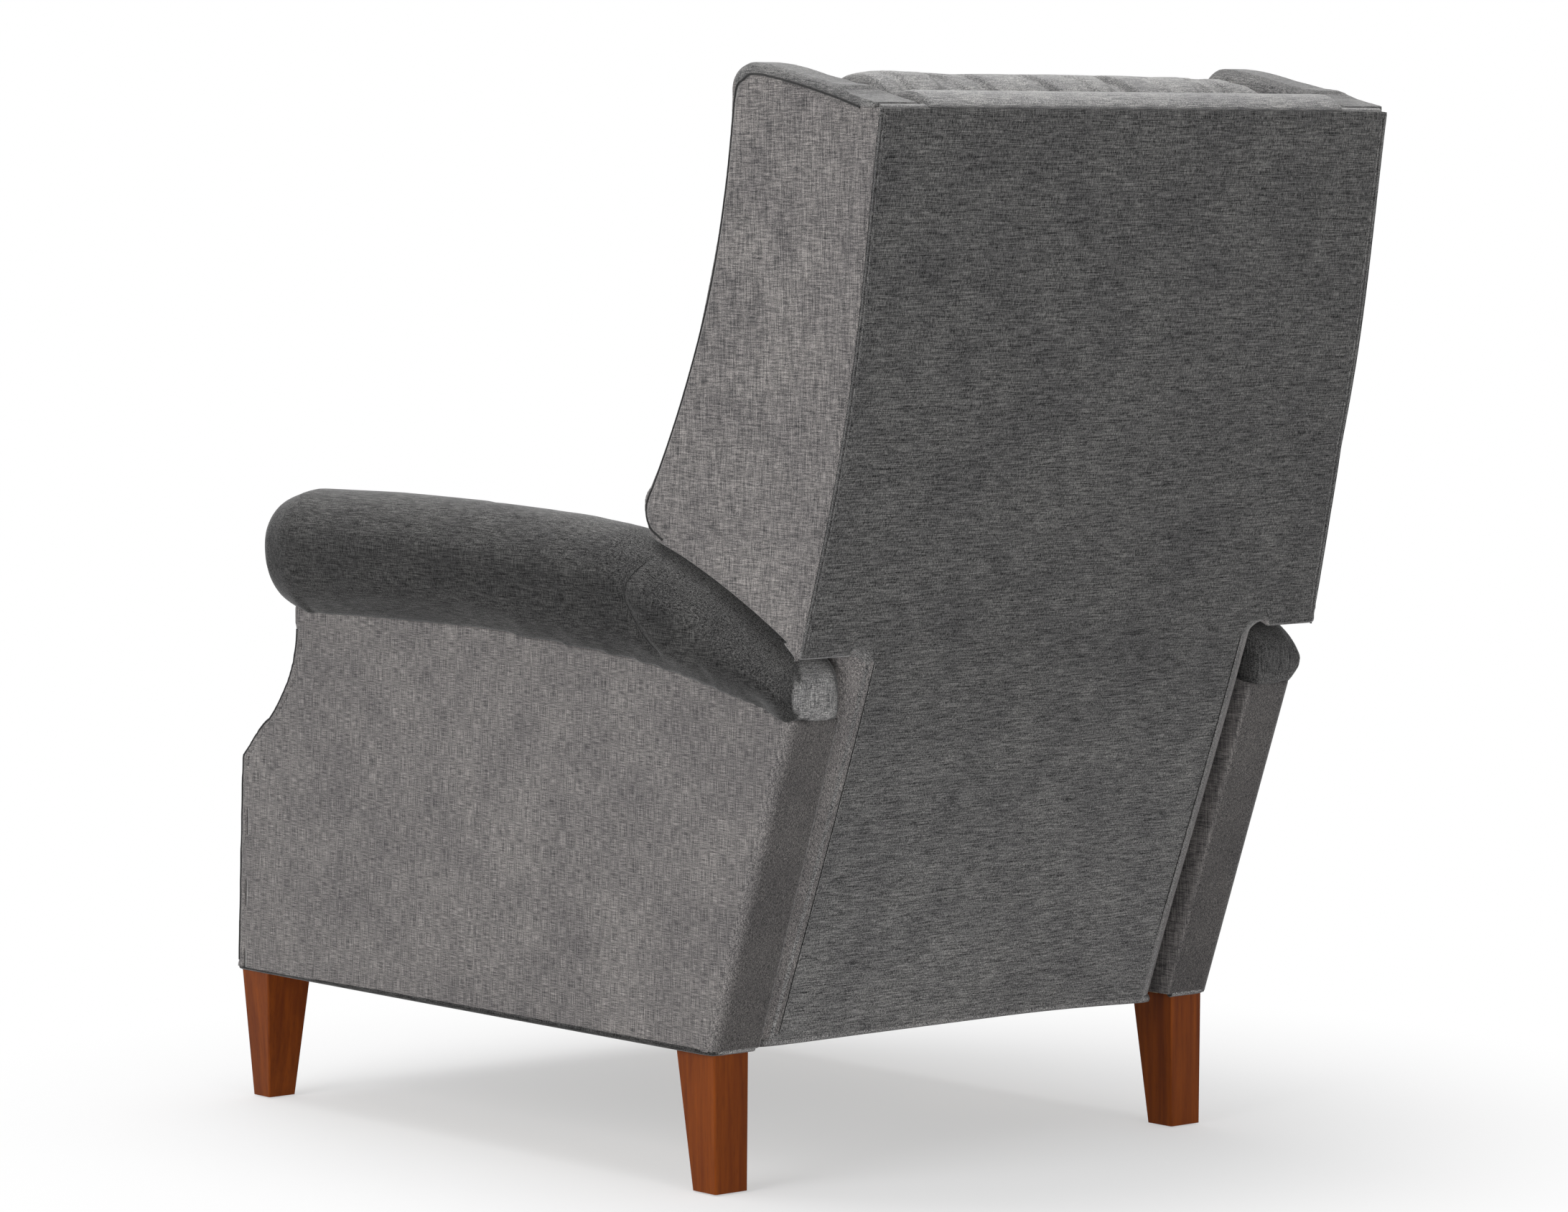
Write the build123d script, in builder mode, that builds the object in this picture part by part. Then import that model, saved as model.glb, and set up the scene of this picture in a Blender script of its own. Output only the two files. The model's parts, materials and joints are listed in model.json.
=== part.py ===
from build123d import *
import os
from math import atan2, cos, degrees, hypot, radians, sin, tan

# High leg wing recliner with fixed roll arms, a gliding seat, a reclining wing back and a fold-out footrest.
# The chair faces -Y, +X is the sitter's left and the floor is Z 0. Sizes are in millimetres.

# Overall widths
half_width = 340.0
arm_thickness = 62.0
side_gap = 6.0
arm_inner = half_width - arm_thickness
seat_half = arm_inner - side_gap
seat_room = 2.0
touch = 0.3
beyond = 3000.0

# Legs and glides
leg_height = 142.0
front_leg_top = (58.0, 49.0)
front_leg_foot = (34.0, 30.0)
front_leg_inset = 35.0
front_leg_y = -496.0
front_leg_kick = -6.0
rear_leg_top = (44.0, 60.0)
rear_leg_foot = (41.0, 36.0)
rear_leg_inset = 30.0
rear_leg_back_y = 279.0
leg_edge = 2.0
glide_radius = 9.0
glide_stand = 1.5
glide_depth = 6.0
glide_round = 1.2
bolt_radius = 4.0
bolt_reach = 26.0

# Arm profile seen from the side: heights start at the top of the legs
arm_body = 398.0
roll_height = 128.0
roll_overhang = 28.0
roll_swell = 7.0
seam_z = leg_height + arm_body
arm_front_bottom = (-523.0, leg_height)
arm_front_top = (-512.0, leg_height + 0.578 * arm_body)
scoop_start = (-482.0, leg_height + 0.676 * arm_body)
scoop_middle = (-440.0, leg_height + 0.754 * arm_body)
neck = (-411.0, leg_height + 0.945 * arm_body)
seam_break_y = -100.0
seam_middle = (199.0, leg_height + 0.952 * arm_body)
arm_rear_top = (404.0, leg_height + 0.839 * arm_body)
arm_rear_bottom = (284.0, leg_height)
front_pad = 14.0
rear_pad = 16.0
rear_round = 14.0
inner_pad = 12.0
board_thickness = 20.0
bottom_rail_height = 30.0
bottom_rail_inset = 6.0
mech_rail_tall = 108.0
mech_rail_top = leg_height + mech_rail_tall
stretcher_width = 28.0

# Arm frame layers, from the seat outwards
board_inner = arm_inner + inner_pad
board_outer = board_inner + board_thickness

# Steel plates of the mechanism lie side by side from the arm inwards
plate = 4.0
plate_gap = 2.0
pin_radius = 4.0
pin_hole = pin_radius + 0.06
head_radius = 7.0
head_height = 1.2
screw_radius = 2.5
screw_head = 5.0
screw_reach = 20.0


def layer(n):
    """Inner face of the plate layer n, counted from the arm."""
    return arm_inner - plate - n * (plate + plate_gap)


# Swing links that carry the seat
swing_up = 63.0
swing_base_z = leg_height + swing_up
swing_front_y = -270.0
swing_rear_y = 60.0
swing_length = 80.0
swing_lean = 37.5
swing_eye = 12.0
swing_tube = 8.0
tube_wall = 2.0
mech_rail_over = 60.0

# Back hinge
hinge_up = 68.0
back_hinge = (250.0, leg_height + hinge_up)
hinge_eye = 11.0

# Footrest scissor
scissor_up = 230.0
scissor_pivot = (-430.0, leg_height + scissor_up)
scissor_length = 185.0
scissor_closed = 6.5
scissor_open = 80.0
scissor_eye = 9.0
scissor_tube = 7.0
slot_play = 0.2
roller_radius = 5.0
hanger_half = 16.0

# Seat frame and cushion
seat_rail = 28.0
seat_cross_rail = 25.0
seat_rail_up = 164.0
seat_rail_tall = 78.0
seat_rail_low = leg_height + seat_rail_up
seat_rail_high = seat_rail_low + seat_rail_tall
seat_front_y = -405.0
seat_rear_y = 150.0
nose_front_y = -505.0
nose_thickness = 10.0
cushion_front_y = -517.0
cushion_rear_y = 196.0
cushion_rise = 114.0
cushion_low = seat_rail_high + nose_thickness
cushion_top = cushion_low + cushion_rise
cushion_corner = 40.0
strap_width = 50.0
strap_thickness = 2.0
seat_straps = 7
back_straps = 6

# Back profile seen from the side, along its outer face
back_rise = 518.0
wing_crown = 45.0
wing_gap = 5.0
wing_thickness = 60.0
wing_low = seam_z - 0.0234 * roll_height + wing_gap
back_low = (262.0, leg_height)
back_bend = (408.0, wing_low - 18.0)
back_middle = (485.0, wing_low + 0.467 * back_rise)
back_high = (530.2, wing_low + back_rise)
overall_height = back_high[1] + wing_crown
back_panel = 20.0
back_edge = 12.0
stile_depth = 45.0
stile_width = 24.0
stile_end = 26.0
back_rail = 50.0
rail_inset = 12.0
wing_front_y = 315.0
wing_tip_y = 179.0
wing_nose = 24.0
wing_hollow = 25.0
wing_inner = half_width - wing_thickness
wing_board = 15.0
wing_board_inner = wing_inner + wing_thickness / 3
wing_border = 34.0
lumbar_y = 100.0
lumbar_rise = 84.0
pillow_gap = 8.0
pillow_drop = 20.0
pillow_lip = 25.0
cushion_crown = 40.0
top_roll_depth = 62.0
top_roll_rise = 17.0

# Footrest board and pad
footrest_lean = 3.0
footrest_board = 15.0
footrest_pad = 30.0
footrest_offset = 22.0
footrest_up = 10.0
footrest_rise = 214.0
footrest_low = leg_height + footrest_up
footrest_high = footrest_low + footrest_rise
footrest_flange = 32.0

os.makedirs("parts", exist_ok=True)


def polar(start, length, angle):
    """Point at a distance from start, the angle leaning from straight up towards the rear."""
    return (start[0] + length * sin(radians(angle)), start[1] + length * cos(radians(angle)))


def save(piece, name):
    piece.label = name
    export_step(piece, f"parts/{name}.step")


def save_pair(piece, name):
    save(mirror(piece, about=Plane.YZ), f"{name}_right")
    save(piece, f"{name}_left")


def bar(start, end, eye):
    """Flat link with round ends in the side view."""
    length = hypot(end[0] - start[0], end[1] - start[1])
    turn = degrees(atan2(end[1] - start[1], end[0] - start[0]))
    with Locations(((start[0] + end[0]) / 2, (start[1] + end[1]) / 2)):
        SlotCenterToCenter(length, 2 * eye, rotation=turn)


def holes(radius, *centres):
    with Locations(*centres):
        Circle(radius, mode=Mode.SUBTRACT)


def rod(centre, low, high, radius, mode=Mode.ADD):
    """Round rod across the chair between two X values."""
    with Locations(((low + high) / 2, centre[0], centre[1])):
        Cylinder(radius, high - low, rotation=(0, 90, 0), mode=mode)


def rivet(centre, low, high, low_head=True, high_head=True):
    rod(centre, low, high, pin_radius)
    if low_head:
        rod(centre, low - head_height, low, head_radius)
    if high_head:
        rod(centre, high, high + head_height, head_radius)


def block(low, high, mode=Mode.ADD):
    """Box between two opposite corners."""
    size = [b - a for a, b in zip(low, high)]
    with Locations(tuple((a + b) / 2 for a, b in zip(low, high))):
        Box(*size, mode=mode)


# Side outline of the upholstered arm below its roll
with BuildSketch() as arm_side_sketch:
    with BuildLine():
        Polyline(arm_front_bottom, arm_front_top, scoop_start)
        ThreePointArc(scoop_start, scoop_middle, neck)
        Polyline(neck, (neck[0], seam_z), (seam_break_y, seam_z))
        ThreePointArc((seam_break_y, seam_z), seam_middle, arm_rear_top)
        Polyline(arm_rear_top, arm_rear_bottom, arm_front_bottom)
    make_face()
arm_side = arm_side_sketch.sketch_local
arm_side_behind = Pos(front_pad, 0) * arm_side

# Rear strip of the same outline
rear_slope = (arm_rear_top[0] - arm_rear_bottom[0]) / (arm_rear_top[1] - arm_rear_bottom[1])
strip_rise = seam_z - leg_height
with BuildSketch() as rear_strip_sketch:
    Polygon(
        (arm_rear_bottom[0] - rear_pad, leg_height),
        (arm_rear_bottom[0] + rear_pad, leg_height),
        (arm_rear_bottom[0] + rear_pad + strip_rise * rear_slope, seam_z),
        (arm_rear_bottom[0] - rear_pad + strip_rise * rear_slope, seam_z),
        align=None,
    )
    add(arm_side, mode=Mode.INTERSECT)
rear_strip = rear_strip_sketch.sketch_local

# Outline without the front facing
with BuildSketch() as arm_core_sketch:
    add(arm_side)
    add(arm_side_behind, mode=Mode.INTERSECT)
arm_core = arm_core_sketch.sketch_local

# Leg positions, left side
front_leg_x = half_width - front_leg_inset
rear_leg_x = half_width - rear_leg_inset
rear_leg_top_y = rear_leg_back_y - rear_leg_top[1] / 2
rear_leg_foot_y = rear_leg_back_y - rear_leg_foot[1] / 2
leg_axes = (
    (front_leg_x, front_leg_y + front_leg_kick / 2),
    (rear_leg_x, rear_leg_back_y - (rear_leg_top[1] + rear_leg_foot[1]) / 4),
)

# Front leg, tapered on all four sides
with BuildPart() as leg_front:
    with BuildSketch(Plane.XY.offset(glide_stand)):
        with Locations((front_leg_x, front_leg_y + front_leg_kick)):
            RectangleRounded(*front_leg_foot, leg_edge)
    with BuildSketch(Plane.XY.offset(leg_height)):
        with Locations((front_leg_x, front_leg_y)):
            RectangleRounded(*front_leg_top, leg_edge)
    loft()
    with Locations((front_leg_x, front_leg_y + front_leg_kick, glide_depth / 2)):
        Cylinder(glide_radius, glide_depth, mode=Mode.SUBTRACT)
    with Locations((*leg_axes[0], leg_height - bolt_reach / 2)):
        Cylinder(bolt_radius, bolt_reach, mode=Mode.SUBTRACT)
save_pair(leg_front.part, "leg_front")

# Rear leg, upright at the back and tapered at the front and sides
with BuildPart() as leg_rear:
    with BuildSketch(Plane.XY.offset(glide_stand)):
        with Locations((rear_leg_x, rear_leg_foot_y)):
            RectangleRounded(*rear_leg_foot, leg_edge)
    with BuildSketch(Plane.XY.offset(leg_height)):
        with Locations((rear_leg_x, rear_leg_top_y)):
            RectangleRounded(*rear_leg_top, leg_edge)
    loft()
    with Locations((rear_leg_x, rear_leg_foot_y, glide_depth / 2)):
        Cylinder(glide_radius, glide_depth, mode=Mode.SUBTRACT)
    with Locations((*leg_axes[1], leg_height - bolt_reach / 2)):
        Cylinder(bolt_radius, bolt_reach, mode=Mode.SUBTRACT)
save_pair(leg_rear.part, "leg_rear")

# Nail glides under the legs
with BuildPart() as leg_glides:
    for spot in ((front_leg_x, front_leg_y + front_leg_kick), (rear_leg_x, rear_leg_foot_y)):
        with Locations((*spot, glide_depth / 2)):
            Cylinder(glide_radius, glide_depth)
    fillet(leg_glides.edges().group_by(Axis.Z)[0], glide_round)
    mirror(about=Plane.YZ)
save(leg_glides.part, "leg_glides")

# Hanger bolts between the legs and the bottom rails
with BuildPart() as leg_bolts:
    for spot in leg_axes:
        with Locations((*spot, leg_height)):
            Cylinder(bolt_radius, 2 * bolt_reach)
    mirror(about=Plane.YZ)
save(leg_bolts.part, "leg_bolts")

# Arm frame: bottom rail, side board and mechanism rail glued into one piece
rail_low = leg_height
rail_high = leg_height + bottom_rail_height
rail_out = half_width - bottom_rail_inset
rail_front_y = arm_front_bottom[0] + 1.5 * front_pad
rail_rear_y = arm_rear_bottom[0] - rear_pad - seat_room
mech_front_y = swing_front_y - mech_rail_over
mech_rear_y = swing_rear_y + mech_rail_over
mech_middle_y = (swing_front_y + swing_rear_y) / 2
mech_span = swing_rear_y - swing_front_y
base_shares = (-0.585, -0.17, 0.17, 0.585)
base_screws = [(mech_middle_y + share * mech_span, swing_base_z) for share in base_shares]
window_tall = 0.65 * (seam_z - mech_rail_top)
with BuildPart() as bottom_rail:
    block((arm_inner + seat_room, rail_front_y, rail_low), (rail_out, rail_rear_y, rail_high))
with BuildPart() as arm_frame:
    with BuildSketch(Plane.YZ.offset(board_inner)):
        add(arm_core)
        add(rear_strip, mode=Mode.SUBTRACT)
        with Locations((mech_middle_y, (mech_rail_top + seam_z) / 2)):
            RectangleRounded(1.15 * mech_span, window_tall, board_thickness, mode=Mode.SUBTRACT)
    extrude(amount=board_thickness)
    add(bottom_rail.part)
    block((arm_inner, mech_front_y, rail_high), (board_inner, mech_rear_y, mech_rail_top))
    for spot in leg_axes:
        with Locations((*spot, leg_height + bolt_reach / 2)):
            Cylinder(bolt_radius, bolt_reach, mode=Mode.SUBTRACT)
    for spot in base_screws:
        rod(spot, arm_inner, board_inner, screw_radius, mode=Mode.SUBTRACT)
save_pair(arm_frame.part, "arm_frame")

# Outer arm panel, wrapped round the rear edge
with BuildPart() as arm_outer_panel:
    with BuildSketch(Plane.YZ.offset(board_outer)):
        add(arm_core)
    extrude(amount=half_width - board_outer)
    with BuildSketch(Plane.YZ.offset(arm_inner)):
        add(rear_strip)
    extrude(amount=board_outer - arm_inner)
    outer_edges = arm_outer_panel.faces().sort_by(Axis.X)[-1].edges()
    fillet(outer_edges.filter_by(GeomType.LINE).sort_by(Axis.Y)[-1:], rear_round)
    add(bottom_rail.part, mode=Mode.SUBTRACT)
save_pair(arm_outer_panel.part, "arm_outer_panel")

# Inner arm panel round the mechanism, open where the cross rails meet the bottom rail
stretcher_front_y = mech_front_y - 2 * stretcher_width
stretcher_rear_y = swing_rear_y - 1.8 * stretcher_width
stretcher_end = arm_inner + seat_room
with BuildPart() as arm_inner_panel:
    with BuildSketch(Plane.YZ.offset(arm_inner)):
        add(arm_core)
        add(rear_strip, mode=Mode.SUBTRACT)
        with Locations((mech_middle_y, mech_rail_top + seat_room)):
            mech_room = mech_rear_y - mech_front_y + 2 * seat_room
            Rectangle(mech_room, beyond, align=(Align.CENTER, Align.MAX), mode=Mode.SUBTRACT)
    extrude(amount=inner_pad)
    add(bottom_rail.part, mode=Mode.SUBTRACT)
    slot_low = (0, stretcher_front_y - touch, 0)
    slot_high = (stretcher_end, stretcher_front_y + stretcher_width + touch, rail_high)
    block(slot_low, slot_high, mode=Mode.SUBTRACT)
save_pair(arm_inner_panel.part, "arm_inner_panel")

# Front facing of the arm, along the scooped front edge
with BuildPart() as arm_front_panel:
    with BuildSketch(Plane.YZ.offset(arm_inner)):
        add(arm_side)
        add(arm_side_behind, mode=Mode.SUBTRACT)
    extrude(amount=arm_thickness)
    add(bottom_rail.part, mode=Mode.SUBTRACT)
save_pair(arm_front_panel.part, "arm_front_panel")

# Arm roll: front end rounded over the neck, rear end running down under the wing.
# Each station gives its share of the roll's length, its lowest and highest point as shares of the roll's
# height above the seam, and how far it stands in from the seat side and out over the panel.
roll_front_y = neck[0] - 0.36 * roll_height
roll_rear_y = arm_rear_top[0] + 0.06 * roll_height
roll_stations = (
    (0, 0.27, 0.66, -2, 0.36),
    (0.0104, 0.17, 0.78, -0.86, 0.64),
    (0.0334, 0.06, 0.91, 0.29, 0.82),
    (0.0771, -0.05, 0.985, 0.86, 0.96),
    (0.238, -0.05, 1, 1, 1),
    (0.411, -0.05, 0.985, 1, 0.96),
    (0.595, -0.12, 0.93, 0.86, 0.9),
    (0.698, -0.17, 0.867, 0.57, 0.82),
    (0.773, -0.23, 0.695, 0.29, 0.79),
    (0.86, -0.32, 0.469, 0, 0.71),
    (0.947, -0.47, 0.14, 0, 0.64),
    (0.984, -0.55, -0.016, 0, 0.6),
    (1, -0.42, -0.14, -0.86, 0.32),
)
with BuildPart() as arm_prism:
    with BuildSketch(Plane.YZ.offset(arm_inner - arm_thickness / 2)):
        add(arm_side)
    extrude(amount=1.5 * arm_thickness)
arm_seat = Pos(0, 0, touch) * arm_prism.part
with BuildPart() as arm_roll:
    for share, low, high, inward, outward in roll_stations:
        y = roll_front_y + share * (roll_rear_y - roll_front_y)
        x_in = arm_inner - inward * roll_swell
        x_out = half_width + outward * roll_overhang
        x_foot = half_width + 0.02 * outward * roll_overhang
        z_low = seam_z + low * roll_height
        z_high = seam_z + high * roll_height
        tall = z_high - z_low
        inner_turn = (x_in, z_high - 0.36 * tall)
        crown = (x_in + 0.46 * (x_out - x_in), z_high)
        outer_turn = (x_out, z_high - 0.52 * tall)
        under = (x_out - 0.22 * (outward + 0.28) * roll_overhang, z_low + 0.2 * tall)
        with BuildSketch(Plane.XZ.offset(-y)):
            with BuildLine():
                Line((x_in, z_low), inner_turn)
                ThreePointArc(inner_turn, crown, outer_turn)
                ThreePointArc(outer_turn, under, (x_foot, z_low))
                Line((x_foot, z_low), (x_in, z_low))
            make_face()
    loft(ruled=True)
    add(arm_seat, mode=Mode.SUBTRACT)
save_pair(arm_roll.part, "arm_roll")

# Cross rails between the two arms
for name, y in (("stretcher_front", stretcher_front_y), ("stretcher_rear", stretcher_rear_y)):
    with BuildPart() as stretcher:
        block((-stretcher_end, y, rail_low), (stretcher_end, y + stretcher_width, rail_high))
        chamfer(stretcher.edges().filter_by(Axis.X), leg_edge)
    save(stretcher.part, name)

# Base plates of the mechanism on the mechanism rails
swing_bases = ((swing_front_y, swing_base_z), (swing_rear_y, swing_base_z))
swing_tops = tuple(polar(spot, swing_length, swing_lean) for spot in swing_bases)
with BuildPart() as base_plate:
    with BuildSketch(Plane.YZ.offset(layer(0))):
        with Locations((mech_middle_y, swing_base_z)):
            RectangleRounded(1.28 * mech_span, 3.8 * swing_eye, swing_eye)
        holes(pin_hole, *swing_bases)
        holes(screw_radius, *base_screws)
    extrude(amount=plate)
save_pair(base_plate.part, "base_plate")

# Screws of the base plates
with BuildPart() as base_plate_screws:
    for spot in base_screws:
        rod(spot, layer(0), board_inner, screw_radius)
        rod(spot, layer(0) - head_height, layer(0), screw_head)
    mirror(about=Plane.YZ)
save(base_plate_screws.part, "base_plate_screws")

# Rivets on which the swing links turn on the base plates
with BuildPart() as base_rivets:
    for spot in swing_bases:
        rivet(spot, layer(1), arm_inner, high_head=False)
    mirror(about=Plane.YZ)
save(base_rivets.part, "base_rivets")

# Front and rear swing links
tube_spot = polar(swing_bases[0], swing_length / 2, swing_lean)
for name, base, top in zip(("swing_link_front", "swing_link_rear"), swing_bases, swing_tops):
    with BuildPart() as swing_link:
        with BuildSketch(Plane.YZ.offset(layer(1))):
            bar(base, top, swing_eye)
            holes(pin_hole, base, top)
        extrude(amount=plate)
    save_pair(swing_link.part, name)

# Cross tube that keeps the two front swing links in step
with BuildPart() as swing_cross_tube:
    rod(tube_spot, -layer(1), layer(1), swing_tube)
    rod(tube_spot, -layer(1), layer(1), swing_tube - tube_wall, mode=Mode.SUBTRACT)
save(swing_cross_tube.part, "swing_cross_tube")

# Scissor geometry of the footrest when folded
reach = scissor_length * sin(radians(scissor_closed))
drop = scissor_length * cos(radians(scissor_closed))
open_drop = scissor_length * cos(radians(scissor_open))
slide = (scissor_pivot[0], scissor_pivot[1] - drop)
lower_knee = (scissor_pivot[0] - reach, scissor_pivot[1] - drop)
upper_knee = (scissor_pivot[0] - reach, scissor_pivot[1])
first_cross = (scissor_pivot[0] - reach / 2, scissor_pivot[1] - drop / 2)
second_cross = (upper_knee[0] - reach / 2, upper_knee[1] - drop / 2)
board_end = (upper_knee[0] - reach, upper_knee[1] - drop)

# Seat plates: bar under the seat, slotted hanger at the front, arm to the back hinge at the rear
seat_bar_low = swing_tops[0][1] - 1.2 * swing_eye
seat_bar_high = seat_rail_low + 2 * swing_eye
seat_bar_rear = swing_tops[1][0] + 2.5 * swing_eye
seat_bar_arm = swing_tops[1][0] - 3.3 * swing_eye
slot_travel = drop - open_drop + 4 * slot_play
hinge_side = 0.7 * hinge_eye
seat_deep = seat_rear_y - seat_front_y
seat_screw_z = seat_rail_low + swing_eye
seat_screws = [(seat_front_y + share * seat_deep, seat_screw_z) for share in (0.08, 0.48, 0.78)]
with BuildPart() as seat_plate:
    with BuildSketch(Plane.YZ.offset(layer(2))):
        bar(slide, scissor_pivot, hanger_half)
        with Locations(((scissor_pivot[0] + seat_bar_rear) / 2, (seat_bar_low + seat_bar_high) / 2)):
            Rectangle(seat_bar_rear - scissor_pivot[0], seat_bar_high - seat_bar_low)
        with BuildLine():
            Polyline(
                (seat_bar_arm, seat_bar_high),
                (seat_bar_rear, seat_bar_high),
                (back_hinge[0] + hinge_side, back_hinge[1] + hinge_side),
                (back_hinge[0] - hinge_side, back_hinge[1] - hinge_side),
                (seat_bar_arm, seat_bar_low),
                close=True,
            )
        make_face()
        with Locations(back_hinge):
            Circle(hinge_eye)
        holes(pin_hole, *swing_tops, back_hinge, scissor_pivot)
        holes(screw_radius, *seat_screws)
        with Locations((scissor_pivot[0], scissor_pivot[1] - (drop + open_drop) / 2)):
            SlotCenterToCenter(slot_travel, 2 * (roller_radius + slot_play), rotation=90, mode=Mode.SUBTRACT)
    extrude(amount=plate)
save_pair(seat_plate.part, "seat_plate")

# Screws of the seat plates
with BuildPart() as seat_plate_screws:
    for spot in seat_screws:
        rod(spot, layer(2) - screw_reach, layer(2) + plate, screw_radius)
        rod(spot, layer(2) + plate, layer(2) + plate + head_height, screw_head)
    mirror(about=Plane.YZ)
save(seat_plate_screws.part, "seat_plate_screws")

# Rivets carried by the seat plates: swing link tops, back hinge and footrest pivot
with BuildPart() as seat_rivets:
    for spot in swing_tops:
        rivet(spot, layer(2), layer(1) + plate)
    rivet(back_hinge, layer(3), layer(2) + plate, low_head=False)
    rivet(scissor_pivot, layer(4), layer(2) + plate)
    mirror(about=Plane.YZ)
save(seat_rivets.part, "seat_rivets")

# Seat frame rails and nose board
rail_x = layer(2)
cross_half = rail_x - seat_rail
nose_rear_y = seat_front_y + 0.4 * seat_cross_rail
with BuildPart() as seat_frame:
    block((cross_half, seat_front_y, seat_rail_low), (rail_x, seat_rear_y, seat_rail_high))
    for spot in seat_screws:
        rod(spot, layer(2) - screw_reach, layer(2), screw_radius, mode=Mode.SUBTRACT)
    mirror(about=Plane.YZ)
    for y in (seat_front_y, seat_rear_y - seat_cross_rail):
        block((-cross_half, y, seat_rail_low), (cross_half, y + seat_cross_rail, seat_rail_high))
    block((-rail_x, nose_front_y, seat_rail_high), (rail_x, nose_rear_y, seat_rail_high + nose_thickness))
save(seat_frame.part, "seat_frame")

# Elastic straps across the seat frame
strap_pitch = 2 * cross_half / seat_straps
with BuildPart() as seat_webbing:
    for k in range(seat_straps):
        x = (k - (seat_straps - 1) / 2) * strap_pitch
        block(
            (x - strap_width / 2, nose_rear_y, seat_rail_high),
            (x + strap_width / 2, seat_rear_y, seat_rail_high + strap_thickness),
        )
save(seat_webbing.part, "seat_webbing")

# Seat cushion, crowned on top and drawn in at its lower edge: share of its height, inset, corner radius
cushion_wide = 2 * (seat_half - seat_room)
cushion_deep = cushion_rear_y - cushion_front_y
cushion_steps = (
    (0, 0.11, 0.75),
    (0.12, 0.03, 0.9),
    (0.35, 0, 1),
    (0.62, 0.03, 1),
    (0.8, 0.11, 1.15),
    (0.91, 0.3, 1.4),
    (0.97, 0.66, 1.7),
    (1, 1.25, 2),
)
with BuildPart() as seat_cushion:
    for share, inset, corner in cushion_steps:
        margin = 2 * inset * cushion_rise
        with BuildSketch(Plane.XY.offset(cushion_low + share * cushion_rise)):
            with Locations((0, (cushion_front_y + cushion_rear_y) / 2)):
                RectangleRounded(cushion_wide - margin, cushion_deep - margin, corner * cushion_corner)
    loft(ruled=True)
save(seat_cushion.part, "seat_cushion")


def back_strip(front, rear, low, high):
    """Band of the back's side profile between two depths inside the outer face and two heights."""
    points = (back_low, back_bend, back_middle, back_high)
    start = (back_bend[0] - back_low[0], back_bend[1] - back_low[1])
    finish = (back_high[0] - back_middle[0], back_high[1] - back_middle[1])
    with BuildSketch() as band:
        with BuildLine():
            outer = Spline([(y - rear, z) for y, z in points], tangents=(start, finish))
            inner = Spline([(y - front, z) for y, z in points], tangents=(start, finish))
            Line(outer @ 0, inner @ 0)
            Line(outer @ 1, inner @ 1)
        make_face()
        with Locations((0, (low + high) / 2)):
            Rectangle(beyond, high - low, mode=Mode.INTERSECT)
    return band.sketch_local


# Depths of the back's layers inside its outer face
stile_out = layer(3)
stile_in = stile_out - stile_width
frame_rear = back_panel + touch
frame_front = frame_rear + stile_depth
stile_top = back_high[1] - stile_end

# Outside back: wide between the wings, narrow between the arms, and wrapped round the stiles above the hinges
wrap_inner = stile_out + plate + touch
wrap_low = seat_rail_low + 3 * hinge_eye
with BuildPart() as outside_back:
    with BuildSketch(Plane.YZ.offset(-half_width)):
        add(back_strip(back_panel, 0, leg_height, back_high[1]))
    extrude(amount=2 * half_width)
    block((seat_half, -beyond, -beyond), (beyond, beyond, wing_low), mode=Mode.SUBTRACT)
    block((-beyond, -beyond, -beyond), (-seat_half, beyond, wing_low), mode=Mode.SUBTRACT)
    side_faces = outside_back.faces().filter_by(Axis.X).group_by(Axis.Z)[0]
    fillet([face.edges().sort_by(SortBy.LENGTH)[-2:].sort_by(Axis.Y)[-1] for face in side_faces], back_edge)
    with BuildSketch(Plane.YZ.offset(wrap_inner)):
        add(back_strip(frame_front, back_edge, wrap_low, wing_low))
    wrap = extrude(amount=seat_half - wrap_inner)
    mirror(wrap, about=Plane.YZ)
save(outside_back.part, "outside_back")

# Back frame: stiles, rails and the blocks that carry the wings
wing_rails = ((wing_low + back_rail, wing_low + 2 * back_rail), (stile_top - back_rail, stile_top))
foot_rail = (leg_height + stile_end, leg_height + stile_end + 0.8 * back_rail)
with BuildPart() as back_frame:
    with BuildSketch(Plane.YZ.offset(stile_in)):
        add(back_strip(frame_front, frame_rear, leg_height + stile_end, stile_top))
    extrude(amount=stile_width)
    for low, high in wing_rails:
        with BuildSketch(Plane.YZ.offset(stile_out)):
            add(back_strip(frame_front - rail_inset, frame_rear + rail_inset / 2, low, high))
        extrude(amount=wing_board_inner - stile_out)
    mirror(about=Plane.YZ)
    for low, high in (foot_rail, *wing_rails):
        with BuildSketch(Plane.YZ.offset(-stile_in)):
            add(back_strip(frame_front - rail_inset, frame_rear + rail_inset / 2, low, high))
        extrude(amount=2 * stile_in)
save(back_frame.part, "back_frame")

# Elastic straps across the back frame
strap_start = back_bend[1] - 2.8 * strap_width
strap_step = (stile_top - strap_start) / back_straps
with BuildPart() as back_webbing:
    for k in range(back_straps):
        low = strap_start + k * strap_step
        with BuildSketch(Plane.YZ.offset(-stile_out)):
            add(back_strip(frame_front + strap_thickness, frame_front, low, low + strap_width))
        extrude(amount=2 * stile_out)
save(back_webbing.part, "back_webbing")

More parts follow.
